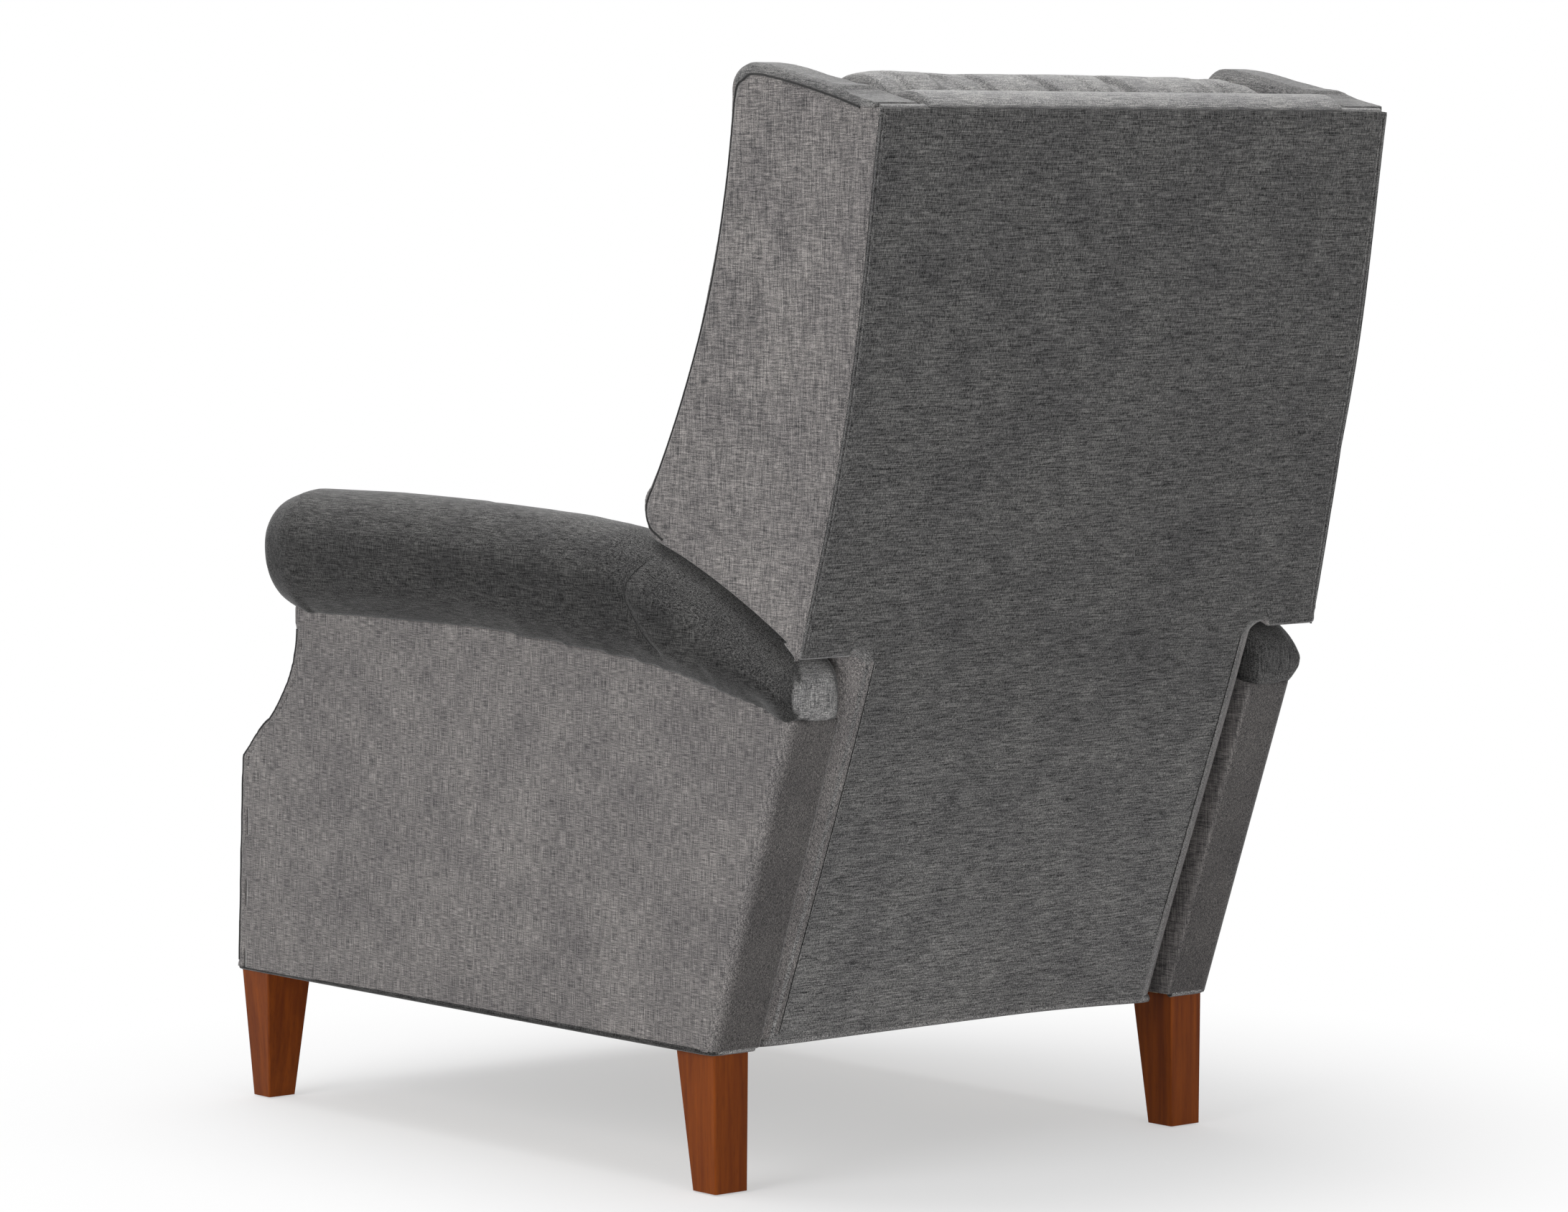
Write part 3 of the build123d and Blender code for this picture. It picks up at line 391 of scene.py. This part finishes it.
def stuffed(piece, pressure, cap, frames=20):
    """Cloth filled from inside, each point moving no further than the cap."""
    before = points_of(piece)
    sim = piece.modifiers.new("stuffing", "CLOTH")
    sim.settings.quality = 4
    sim.settings.mass = 0.3
    sim.settings.tension_stiffness = 12
    sim.settings.compression_stiffness = 12
    sim.settings.shear_stiffness = 6
    sim.settings.bending_stiffness = 0.6
    sim.settings.use_pressure = True
    sim.settings.uniform_pressure_force = pressure
    sim.settings.effector_weights.gravity = 0
    sim.point_cache.frame_start = 1
    sim.point_cache.frame_end = frames
    for step in range(1, frames + 1):
        scene.frame_set(step)
    bake(piece)
    move = points_of(piece) - before
    size = np.maximum(np.linalg.norm(move, axis=1, keepdims=True), 1e-9)
    move_points(piece, before + move * cap * np.tanh(size / cap) / size)
    evened(piece, 3)
    scene.frame_set(1)


def spaced(points, step, closed=False):
    """Points spaced evenly along a line of points."""
    line = np.array(points, float)
    if closed:
        line = np.vstack([line, line[:1]])
    gaps = np.linalg.norm(np.diff(line, axis=0), axis=1)
    along = np.concatenate([[0], np.cumsum(gaps)])
    count = max(2, int(along[-1] / step))
    want = np.linspace(0, along[-1], count, endpoint=not closed)
    return np.stack([np.interp(want, along, line[:, k]) for k in range(3)], axis=1)


def curved(points):
    """Smooth line through a few points."""
    line = np.array(points, float)
    line = np.vstack([2 * line[0] - line[1], line, 2 * line[-1] - line[-2]])
    out = []
    for a, b, c, d in zip(line, line[1:], line[2:], line[3:]):
        square, cube = 2 * a - 5 * b + 4 * c - d, 3 * b - a - 3 * c + d
        for t in np.linspace(0, 1, 24, endpoint=False):
            out.append(0.5 * (2 * b + (c - a) * t + square * t**2 + cube * t**3))
    out.append(line[-2])
    return spaced(out, LINE_STEP)


def round_line(low, high, corner, z):
    """Closed rounded rectangle at one height."""
    out = []
    corners = ((high[0], high[1]), (low[0], high[1]), (low[0], low[1]), (high[0], low[1]))
    for (x, y), start in zip(corners, (0, 90, 180, 270)):
        centre = (x - math.copysign(corner, x), y - math.copysign(corner, y - (low[1] + high[1]) / 2))
        for k in range(7):
            turn = math.radians(start + 15 * k)
            out.append((centre[0] + corner * math.cos(turn), centre[1] + corner * math.sin(turn), z))
    return spaced(out, 0.005, closed=True)


def on_skin(piece, points, lift=0.0):
    """The nearest places on the piece's skin, lifted along its normal."""
    mesh = bmesh.new()
    mesh.from_mesh(piece.data)
    tree = BVHTree.FromBMesh(mesh)
    mesh.free()
    out = []
    for point in points:
        place, normal, _, _ = tree.find_nearest(Vector(point))
        out.append(place + normal * lift)
    return np.array(out)


def groove(piece, points, width, depth):
    """Draws the skin in along a seam line; a negative depth raises it."""
    near = kdtree.KDTree(len(points))
    for k, point in enumerate(points):
        near.insert(point, k)
    near.balance()
    skin, normal = points_of(piece), normals_of(piece)
    close = np.all((skin > points.min(0) - width) & (skin < points.max(0) + width), axis=1)
    for k in np.flatnonzero(close):
        gap = near.find(skin[k])[2]
        if gap < width:
            skin[k] -= normal[k] * depth * (1 - (gap / width) ** 2) ** 2
    move_points(piece, skin)


def thinned(piece, share):
    """Fewer faces where the skin is plain."""
    fewer = piece.modifiers.new("fewer", "DECIMATE")
    fewer.ratio = share
    bake(piece)


def evened(piece, rounds):
    """A little more smoothing all over."""
    even = piece.modifiers.new("even", "SMOOTH")
    even.iterations = rounds
    bake(piece)


def welt(name, points, radius, body, closed=False, material=None):
    """Round cord of fabric along a line; by default near-black, painted shade along a seam."""
    curve = bpy.data.curves.new(name, "CURVE")
    curve.dimensions = "3D"
    curve.bevel_depth = radius
    curve.bevel_resolution = 2
    spline = curve.splines.new("POLY")
    spline.points.add(len(points) - 1)
    spline.points.foreach_set("co", np.hstack([points, np.ones((len(points), 1))]).ravel())
    spline.use_cyclic_u = closed
    curve.use_fill_caps = not closed
    tube = bpy.data.objects.new(name, curve)
    scene.collection.objects.link(tube)
    bpy.context.view_layer.update()
    mesh = bpy.data.meshes.new_from_object(tube.evaluated_get(bpy.context.evaluated_depsgraph_get()))
    bpy.data.objects.remove(tube)
    piece = add_object(name, mesh)
    return dress(piece, body, material or piping)


def dress(piece, body, material=None):
    """Smooth shading, material and the body that the piece moves with."""
    piece.data.materials.clear()
    piece.data.materials.append(material or cloth)
    piece.data.polygons.foreach_set("use_smooth", [True] * len(piece.data.polygons))
    piece.data.update()
    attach(piece, body)
    return piece


def second_cloth(piece, material, chosen):
    """Another run of the threads, with its own tones of painted light and shade, on the faces whose normal is
    chosen.
    """
    piece.data.materials.append(material)
    for face in piece.data.polygons:
        if chosen(face.normal):
            face.material_index = len(piece.data.materials) - 1


def flipped(piece, name):
    """Mirror copy on the other side of the chair."""
    mesh = piece.data.copy()
    mesh.transform(Matrix.Scale(-1, 4, (1, 0, 0)))
    mesh.flip_normals()
    return add_object(name, mesh)


def both(stem, points, radius, body, material=None):
    """Cord of fabric on the left and its mirror copy on the right."""
    left = welt(f"{stem}_left", points, radius, body, material=material)
    dress(flipped(left, f"{stem}_right"), body, material or piping)


def soft(name, voxel, rounds, *names):
    """Softened copy of CAD solids, kept in their box."""
    piece = joined(name, *names)
    points = points_of(piece)
    low, high = points.min(0), points.max(0)
    remesh(piece, voxel, rounds)
    fit(piece, low, high)
    return piece


def pair(piece, stem, body, fill, *stems, material=None):
    """Finishes a left piece and its mirror copy, which stand for these nodes on each side."""
    other = flipped(piece, f"{stem}_right")
    for side, half in zip(SIDES, (piece, other)):
        dress(half, body, material)
        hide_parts(*[f"{name}_{side}" for name in stems])
    return piece, other


def wrapped(name, low, high, radius, body):
    """Fabric-covered board with rounded edges."""
    box = bmesh.new()
    bmesh.ops.create_cube(box, size=1.0)
    size, middle = np.array(high) - np.array(low), (np.array(high) + np.array(low)) / 2
    for vertex in box.verts:
        vertex.co = Vector(middle + np.array(vertex.co) * size)
    bmesh.ops.bevel(box, geom=box.edges[:], offset=radius, segments=4, profile=0.5, affect="EDGES")
    mesh = bpy.data.meshes.new(name)
    box.to_mesh(mesh)
    box.free()
    return dress(add_object(name, mesh), body)


def flared(points):
    """The back's cover as it is drawn over the frame: wider and further back towards its lower edge."""
    spread = np.array(points, float)
    x, z = spread[:, 0], spread[:, 2]
    spread[:, 1] += np.interp(z, (0.14, 0.55, 0.6, 0.65, 0.72), (0.011, 0.0095, 0.0064, 0.0035, 0.0006))
    # The parts over the arms keep their width down to their lower edge
    height = np.where(np.abs(x) > 0.282, np.maximum(z, 0.55), z)
    wider = np.interp(height, (0.53, 0.55, 0.6, 0.65, 0.72), (0.0045, 0.008, 0.0054, 0.003, 0.0005))
    spread[:, 0] += np.clip(x / 0.27, -1, 1) * wider
    return spread


def hem_sag(x):
    """How far the lower edge of the outside back hangs down towards the right side."""
    return 0.006 * rising(-x, 0.05, 0.22) ** 2


# Plain materials for the solids that stay
for entry in frame["record"]["subparts"]:
    finish = SLOTS.get(entry["material_slot"])
    if finish:
        mesh = nodes[entry["node"]].data
        mesh.materials.clear()
        mesh.materials.append(finish)

add_camera()

# Arms: padded body with a hollow below the roll, a rolled lower edge and a seam down its front edge
arm_solids = ("arm_outer_panel", "arm_front_panel", "arm_inner_panel")
arm = soft("arm_cover_left", None, 3, *[f"{stem}_left" for stem in arm_solids])
skin = points_of(arm)
hollow_heights = (0.374, 0.384, 0.396, 0.41, 0.42, 0.43, 0.445)
hollow_depths = (0, 0.003, 0.005, 0.009, 0.0075, 0.0035, 0)
skin[:, 1] += np.interp(skin[:, 2], hollow_heights, hollow_depths) * falling(skin[:, 1], -0.4, 0.07)
move_points(arm, skin)
evened(arm, 1)
front_line = [
    (-0.519, 0.15), (-0.509, 0.366), (-0.5, 0.386), (-0.484, 0.3985), (-0.46, 0.418),
    (-0.4365, 0.4435), (-0.42, 0.47), (-0.411, 0.494), (-0.4075, 0.515),
]
front_seam = on_skin(arm, curved([(SIDE_FACE, y, z) for y, z in front_line]))
groove(arm, front_seam, width=0.007, depth=0.0018)
thinned(arm, KEPT_FACES)
pair(arm, "arm_cover", "chair_frame", 0.7, *arm_solids, material=cloth_side)
both("arm_front_seam", on_skin(arm, front_seam, 0.0002), 0.001, "chair_frame")
hem_line = [(0.334, -0.5195), (0.336, -0.2), (0.336, 0.2), (0.335, 0.268)]
hem_line += [(0.328, 0.2795), (0.31, 0.2805), (0.284, 0.2805)]
# The hem cord takes the roll's cloth: near-black painted shade, pale where it faces the rear
both("arm_hem", curved([(x, y, HEM_LEVEL) for x, y in hem_line]), 0.0045, "chair_frame", cloth_roll)

# Arm rolls: blunt in front, with a dart on the outer side. At the rear end, where the cover is gathered, they
# are full at the inner upper corner and flat at the outer lower one
roll = soft("arm_roll_cover_left", 0.0045, 10, "arm_roll_left")
stuffed(roll, 3.0, 0.003)
skin = points_of(roll)
rear_start, rear_end, ring_step = 0.3, 0.42, 0.004
inner_power, outer_power, fullest = 6, 1.35, 1.35
for y in np.arange(rear_start, rear_end, ring_step):
    ring = np.flatnonzero(np.abs(skin[:, 1] - y) <= ring_step / 2)
    if len(ring) < 8:
        continue
    least, most = skin[ring].min(0), skin[ring].max(0)
    middle, half = (least + most) / 2, (most - least) / 2
    share = rising(y, rear_start, 0.06)
    for k in ring:
        dx, dz = (middle[0] - skin[k, 0]) / half[0], (skin[k, 2] - middle[2]) / half[2]
        if dx * dz <= 0:
            continue
        power = inner_power if dx > 0 else outer_power
        grow = math.hypot(dx, dz) / max((abs(dx) ** power + abs(dz) ** power) ** (1 / power), 1e-6)
        grow = 1 + share * (min(grow, fullest) - 1)
        skin[k, 0], skin[k, 2] = middle[0] - dx * half[0] * grow, middle[2] + dz * half[2] * grow
blunt_start, blunt_length = -0.425, 0.0125
beyond = np.maximum(blunt_start - skin[:, 1], 0)
skin[:, 1] += beyond - blunt_length * np.tanh(beyond / blunt_length)
move_points(roll, skin)
evened(roll, 4)
skin, normal = points_of(roll), normals_of(roll)
gather = rising(normal[:, 1], 0.5, 0.3) * rising(skin[:, 1], 0.38, 0.02)
fold = np.sin(skin[:, 0] * 520 + 60 * (skin[:, 2] - 0.5))
move_points(roll, skin + normal * (0.0006 * gather * fold)[:, None])
dart_line = [(0.35, 0.197, 0.617), (0.364, 0.183, 0.591), (0.368, 0.191, 0.567), (0.366, 0.221, 0.527)]
dart = on_skin(roll, curved(dart_line))
groove(roll, dart, width=0.009, depth=0.0022)
_, far_roll = pair(roll, "arm_roll_cover", "chair_frame", 0.8, "arm_roll", material=cloth_roll)
# The far roll takes the shaded copy of the roll's cloth: painted shade
dress(far_roll, "chair_frame", cloth_far_roll)
# Painted sheen: the rear end of the near roll takes the cap cloth, pale where it faces the rear
second_cloth(roll, cloth_cap, lambda normal: normal.y > 0.6)
both("arm_roll_dart", on_skin(roll, dart, 0.0001), 0.0007, "chair_frame")

# Wings: outer panel seamed to the border strip along the front and top edges, lower edge down on the arm roll
wing_edge = [
    (0.211, 0.641), (0.188, 0.653), (0.1845, 0.671), (0.195, 0.692), (0.243, 0.79),
    (0.2825, 0.885), (0.305, 0.98), (0.321, 1.07), (0.332, 1.0885), (0.352, 1.093),
    (0.41, 1.083), (0.468, 1.0705), (0.505, 1.06),
]
front_y, front_z = np.array(wing_edge[1:8]).T
top_y, top_z = np.array(wing_edge[7:]).T
wing = soft("wing_cover_left", None, 3, "wing_pad_left", "wing_board_left")
skin, normal = points_of(wing), normals_of(wing)
under = rising(-normal[:, 2], 0.3, 0.3) * falling(skin[:, 2], 0.66, 0.02)
skin += normal * (0.0035 * under)[:, None]
corner_y, corner_z = (0.44, 0.476, 0.498, 0.511), (1.12, 1.08, 1.069, 1.0645)
skin[:, 2] = np.minimum(skin[:, 2], np.interp(skin[:, 1], corner_y, corner_z))
# The crown is flatter than the solid's and its upper rear corner reaches over the outside back
above = np.maximum(skin[:, 2] - np.interp(skin[:, 1], top_y, top_z), 0)
flat_y, flat_share = (0.335, 0.36, 0.41, 0.45, 0.48, 0.5), (0, 0.12, 0.42, 0.42, 0.2, 0)
skin[:, 2] -= above * np.interp(skin[:, 1], flat_y, flat_share)
skin[:, 1] += 0.013 * rising(skin[:, 1], 0.488, 0.02) * rising(skin[:, 2], 1.0, 0.04)
behind = skin[:, 1] - np.interp(skin[:, 2], front_z, front_y)
# The front edge stands a little further forward, and the seam with it
skin[:, 1] -= 0.005 * np.clip(1 - behind / 0.05, 0, 1)
move_points(wing, flared(skin))
evened(wing, 2)
seam = on_skin(wing, flared(curved([(SIDE_FACE, y - 0.004 * (z < 1.08), z) for y, z in wing_edge])))
groove(wing, seam, width=0.008, depth=0.0022)
thinned(wing, KEPT_FACES)
_, far_wing = pair(wing, "wing_cover", "back", 0.7, "wing_pad", material=cloth_side)
# Painted shade: the faces that turn inward and the top of each wing take the flat band tone
for half, side in zip((wing, far_wing), (1, -1)):
    half.data.materials.append(cloth_band)
    for face in half.data.polygons:
        inside = face.normal.x * side < -0.3
        on_top = face.center.y > top_y[0] and face.center.z > np.interp(face.center.y, top_y, top_z)
        face.material_index = int(inside or on_top)
both("wing_seam", on_skin(wing, seam, 0.0003), 0.0012, "back")

# Outside back: double seam at the wings, broad rounded edges between the arms, rolled lower edge
rear = soft("outside_back_cover", None, 3, "outside_back")
profile = curved([(0, 0.262, 0.142), (0, 0.408, 0.524), (0, 0.485, 0.784), (0, 0.5302, 1.06)])
high = profile[(profile[:, 2] > 0.547) & (profile[:, 2] < 1.054)]
low = profile[(profile[:, 2] > 0.15) & (profile[:, 2] < 0.53)]
skin, normal = points_of(rear), normals_of(rear)
aside = np.abs(skin[:, 0])
# Below the wings the sides turn forward
skin[:, 1] -= 0.014 * (rising(aside, 0.247, 0.025) * falling(skin[:, 2], WING_LOW, 0.01))
# The lower edge of the wide upper part slants down to the rear
lower = rising(aside, 0.27, 0.006) * falling(skin[:, 2], 0.58, 0.035)
lower *= rising(skin[:, 2], 0.53, 0.01)
rear_drop, front_rise = 0.0065, 0.012
skin[:, 2] += lower * np.clip(0.75 * (0.413 - skin[:, 1]) - rear_drop, -rear_drop, front_rise)
skin[:, 2] -= hem_sag(skin[:, 0]) * falling(skin[:, 2], 0.25, 0.1)
# The cover over the stiles runs up behind the wings
upper = rising(normal[:, 2], 0.3, 0.3) * (aside < 0.285) * (skin[:, 1] < 0.396)
upper *= np.abs(skin[:, 2] - WING_LOW) < 0.006
skin += np.outer(upper, (0, 0.008, 0.024))
move_points(rear, flared(skin))
side_seams = [on_skin(rear, flared(high + np.array((x, 0, 0)))) for x in (0.3365, 0.3325)]
low_seam = on_skin(rear, flared(low + np.array((0.2475, 0, 0))))
for line in (*side_seams, low_seam):
    groove(rear, line, width=0.005, depth=0.0012)
    groove(rear, line * MIRROR, width=0.005, depth=0.0012)
ridge = on_skin(rear, flared(low + np.array((0.2435, 0, 0))))
groove(rear, ridge, width=0.005, depth=-0.001)
groove(rear, ridge * MIRROR, width=0.005, depth=-0.001)
thinned(rear, KEPT_FACES)
# The outside back takes the cloth with painted floor bounce light, paler towards the floor
dress(rear, "back", cloth_rear)
# Painted light: the faces of the outside back that turn aside take the paler edge cloth
second_cloth(rear, cloth_lit_edge, lambda normal: abs(normal.x) > 0.45)
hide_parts("outside_back")
# The seam cords take cloths with painted light and shade: the ridge cord's pale rear-facing tone is a painted
# highlight along the ridge
seam_names, cord_painted_tones = ("back_side_seam", "back_edge_seam", "back_ridge"), (cloth_band, cloth, cloth_roll)
for name, line, yarn in zip(seam_names, (*side_seams, ridge), cord_painted_tones):
    both(name, on_skin(rear, line, 0.0002), 0.0009, "back", yarn)
hem = [(-0.262, 0.25, 0.1445), (-0.245, 0.2575, HEM_LEVEL), (-0.1, 0.2575, HEM_LEVEL)]
hem = curved(hem + [(0.1, 0.2575, HEM_LEVEL), (0.245, 0.2575, HEM_LEVEL), (0.266, 0.245, 0.1445)])
hem[:, 2] -= hem_sag(hem[:, 0])
# The hem cord takes the roll's cloth: near-black painted shade along the lower edge, pale where it faces the
# rear
welt("back_hem", flared(hem), 0.0042, "back", material=cloth_roll)
top_edge = [(-0.334, 0.524, 1.0585), (-0.1, 0.5245, 1.0595), (0.1, 0.5245, 1.0595), (0.334, 0.524, 1.0585)]
# The top cord takes the top cloth: painted highlight where it faces up
welt("back_top_edge", curved(top_edge), 0.0048, "back", material=cloth_top)

# The wing fabric runs on over the side of the outside back to the corner seam
return_low, return_high, return_width = 0.536, 1.058, 0.032
rows = []
for _, y, z in profile[(profile[:, 2] > return_low) & (profile[:, 2] < return_high)]:
    reach = min(0.002 + 1.1 * (z - return_low), return_width)
    line = ((0.3394, reach), (0.3407, 0.75 * reach), (0.3409, 0.4 * reach), (0.3406, 0.003), (0.339, 0))
    rows.append(flared([(x, y - back, z) for x, back in line]))
strip = bmesh.new()
grid = [[strip.verts.new(spot) for spot in row] for row in rows]
for a, b in zip(grid, grid[1:]):
    for k in range(len(a) - 1):
        strip.faces.new((a[k], a[k + 1], b[k + 1], b[k]))
mesh = bpy.data.meshes.new("wing_return_left")
strip.to_mesh(mesh)
strip.free()
wing_return = dress(add_object("wing_return_left", mesh), "back", cloth_side)
dress(flipped(wing_return, "wing_return_right"), "back", cloth_side)

# Border along the top of the back
border = soft("back_top_border", 0.0035, 4, "back_top_roll")
# The border takes the top cloth: painted highlight where it faces up
dress(border, "back", cloth_top)
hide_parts("back_top_roll")

# Inside back cushion with raised corners, gathered into pleats along its top
pleats, pleat_step = 13, 0.039
pillow = soft("back_pillow", 0.006, 6, "back_cushion")
stuffed(pillow, 4.0, 0.008)
skin = points_of(pillow)
corners = rising(np.abs(skin[:, 0]), 0.1, 0.16) ** 2
skin[:, 2] += (0.0075 + 0.0035 * np.sign(skin[:, 0])) * corners * rising(skin[:, 2], 0.96, 0.08)
move_points(pillow, skin)
crown = bmesh.new()
crown.from_mesh(pillow.data)
fine = [edge for edge in crown.edges if min(v.co.z for v in edge.verts) > 1.02]
bmesh.ops.subdivide_edges(crown, edges=fine, cuts=1, use_grid_fill=True)
crown.to_mesh(pillow.data)
crown.free()
for k in range(pleats):
    x = -0.238 + pleat_step * k + 0.009 * math.sin(5.0 * k)
    lean, depth = 0.012 * math.sin(2.1 * k), 0.0034 + 0.0014 * math.sin(3.7 * k)
    pleat = curved([(x, 0.462, 1.055), (x + lean, 0.432, 1.085), (x + 1.4 * lean, 0.41, 1.097)])
    groove(pillow, on_skin(pillow, pleat), width=0.013, depth=depth)
# The cushion takes the top cloth: painted highlight where it faces up
dress(pillow, "back", cloth_top)
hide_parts("back_cushion")

# Seat cushion with piped edges, and the covered nose of the seat frame below it
seat = soft("seat_pad", 0.006, 6, "seat_cushion")
stuffed(seat, 4.0, 0.009)
dress(seat, "seat")
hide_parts("seat_cushion")
low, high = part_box("seat_cushion")
for name, level, inset in (("seat_piping_top", 0.8, 0.008), ("seat_piping_low", 0.06, 0.007)):
    z = low[2] + level * (high[2] - low[2])
    line = round_line((low[0] + inset, low[1] + inset), (high[0] - inset, high[1] - inset), 0.045, z)
    # The piping takes the roll's cloth: near-black painted shade, pale where it faces the rear
    welt(name, on_skin(seat, line, 0.001), 0.0035, "seat", closed=True, material=cloth_roll)
nose = wrapped("seat_nose_cover", (-0.264, -0.5085, 0.3795), (0.264, -0.41, 0.3945), 0.005, "seat")

# Footrest, with the cover drawn round its board
rest = soft("footrest_cover", 0.005, 5, "footrest_pad")
stuffed(rest, 3.0, 0.005)
dress(rest, "footrest")
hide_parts("footrest_pad")
low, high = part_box("footrest_board")
cover = 0.0008
wrap = wrapped("footrest_wrap", np.array(low) - cover, np.array(high) + cover, 0.002, "footrest")


# Floor, backdrop and light
def backdrop_rays(tree):
    """1 for the rays that show the backdrop: straight, in gloss or through glass."""
    rays = tree.nodes.new("ShaderNodeLightPath")
    seen = math_node(tree, "MAXIMUM", rays.outputs["Is Camera Ray"], rays.outputs["Is Glossy Ray"])
    return math_node(tree, "MAXIMUM", seen, rays.outputs["Is Transmission Ray"])


def add_floor():
    """Pale floor that fades to white away from the chair."""
    bpy.ops.mesh.primitive_circle_add(vertices=128, radius=9.0, fill_type="NGON", location=(0, 0, 0))
    floor = bpy.context.object
    floor.name = "floor"
    material, tree, shader = new_material("floor")
    shader.inputs["Base Color"].default_value = (0.9, 0.9, 0.905, 1)
    shader.inputs["Roughness"].default_value = 0.85
    shader.inputs["Specular IOR Level"].default_value = 0.2
    place = tree.nodes.new("ShaderNodeTexCoord")
    length = tree.nodes.new("ShaderNodeVectorMath")
    length.operation = "LENGTH"
    tree.links.new(place.outputs["Object"], length.inputs[0])
    fade = tree.nodes.new("ShaderNodeMapRange")
    fade.interpolation_type = "SMOOTHSTEP"
    fade.inputs["From Min"].default_value = 0.45
    fade.inputs["From Max"].default_value = 1.05
    fade.inputs["To Min"].default_value = 0.48
    tree.links.new(length.outputs["Value"], fade.inputs["Value"])
    share = math_node(tree, "MULTIPLY", fade.outputs["Result"], backdrop_rays(tree))
    glow = tree.nodes.new("ShaderNodeEmission")
    glow.inputs["Color"].default_value = (1, 1, 1, 1)
    mix = tree.nodes.new("ShaderNodeMixShader")
    tree.links.new(share, mix.inputs["Fac"])
    tree.links.new(shader.outputs["BSDF"], mix.inputs[1])
    tree.links.new(glow.outputs["Emission"], mix.inputs[2])
    tree.links.new(mix.outputs["Shader"], tree.nodes["Material Output"].inputs["Surface"])
    floor.data.materials.append(material)


def add_world():
    """Even white light, with a white backdrop."""
    world = bpy.data.worlds.new("studio")
    world.use_nodes = True
    scene.world = world
    tree = world.node_tree
    light = tree.nodes["Background"]
    light.inputs["Color"].default_value = (1, 1, 1, 1)
    light.inputs["Strength"].default_value = 0.3
    white = tree.nodes.new("ShaderNodeBackground")
    white.inputs["Strength"].default_value = 1.0
    white.inputs["Color"].default_value = (1, 1, 1, 1)
    mix = tree.nodes.new("ShaderNodeMixShader")
    tree.links.new(backdrop_rays(tree), mix.inputs["Fac"])
    tree.links.new(light.outputs["Background"], mix.inputs[1])
    tree.links.new(white.outputs["Background"], mix.inputs[2])
    tree.links.new(mix.outputs["Shader"], tree.nodes["World Output"].inputs["Surface"])


def add_lamp(name, place, aim, size, share):
    """Square soft lamp; a share of 1 shows a facing colour as it is written."""
    lamp = bpy.data.lights.new(name, "AREA")
    lamp.shape = "SQUARE"
    lamp.size = size
    way = Vector(aim) - Vector(place)
    lamp.energy = math.pi**2 * way.length_squared * share
    holder = bpy.data.objects.new(name, lamp)
    holder.location = place
    holder.rotation_euler = way.to_track_quat("-Z", "Y").to_euler()
    scene.collection.objects.link(holder)


add_floor()
add_world()
add_lamp("key", (4.1, 0.5, 2.1), (0, 0, 0.6), 2.4, 0.45)
add_lamp("top", (0.2, -0.4, 4.2), (0, 0, 0.5), 3.2, 0.8)
add_lamp("fill", (0.4, 4.8, 0.8), (0, 0, 0.4), 2.6, 0.26)
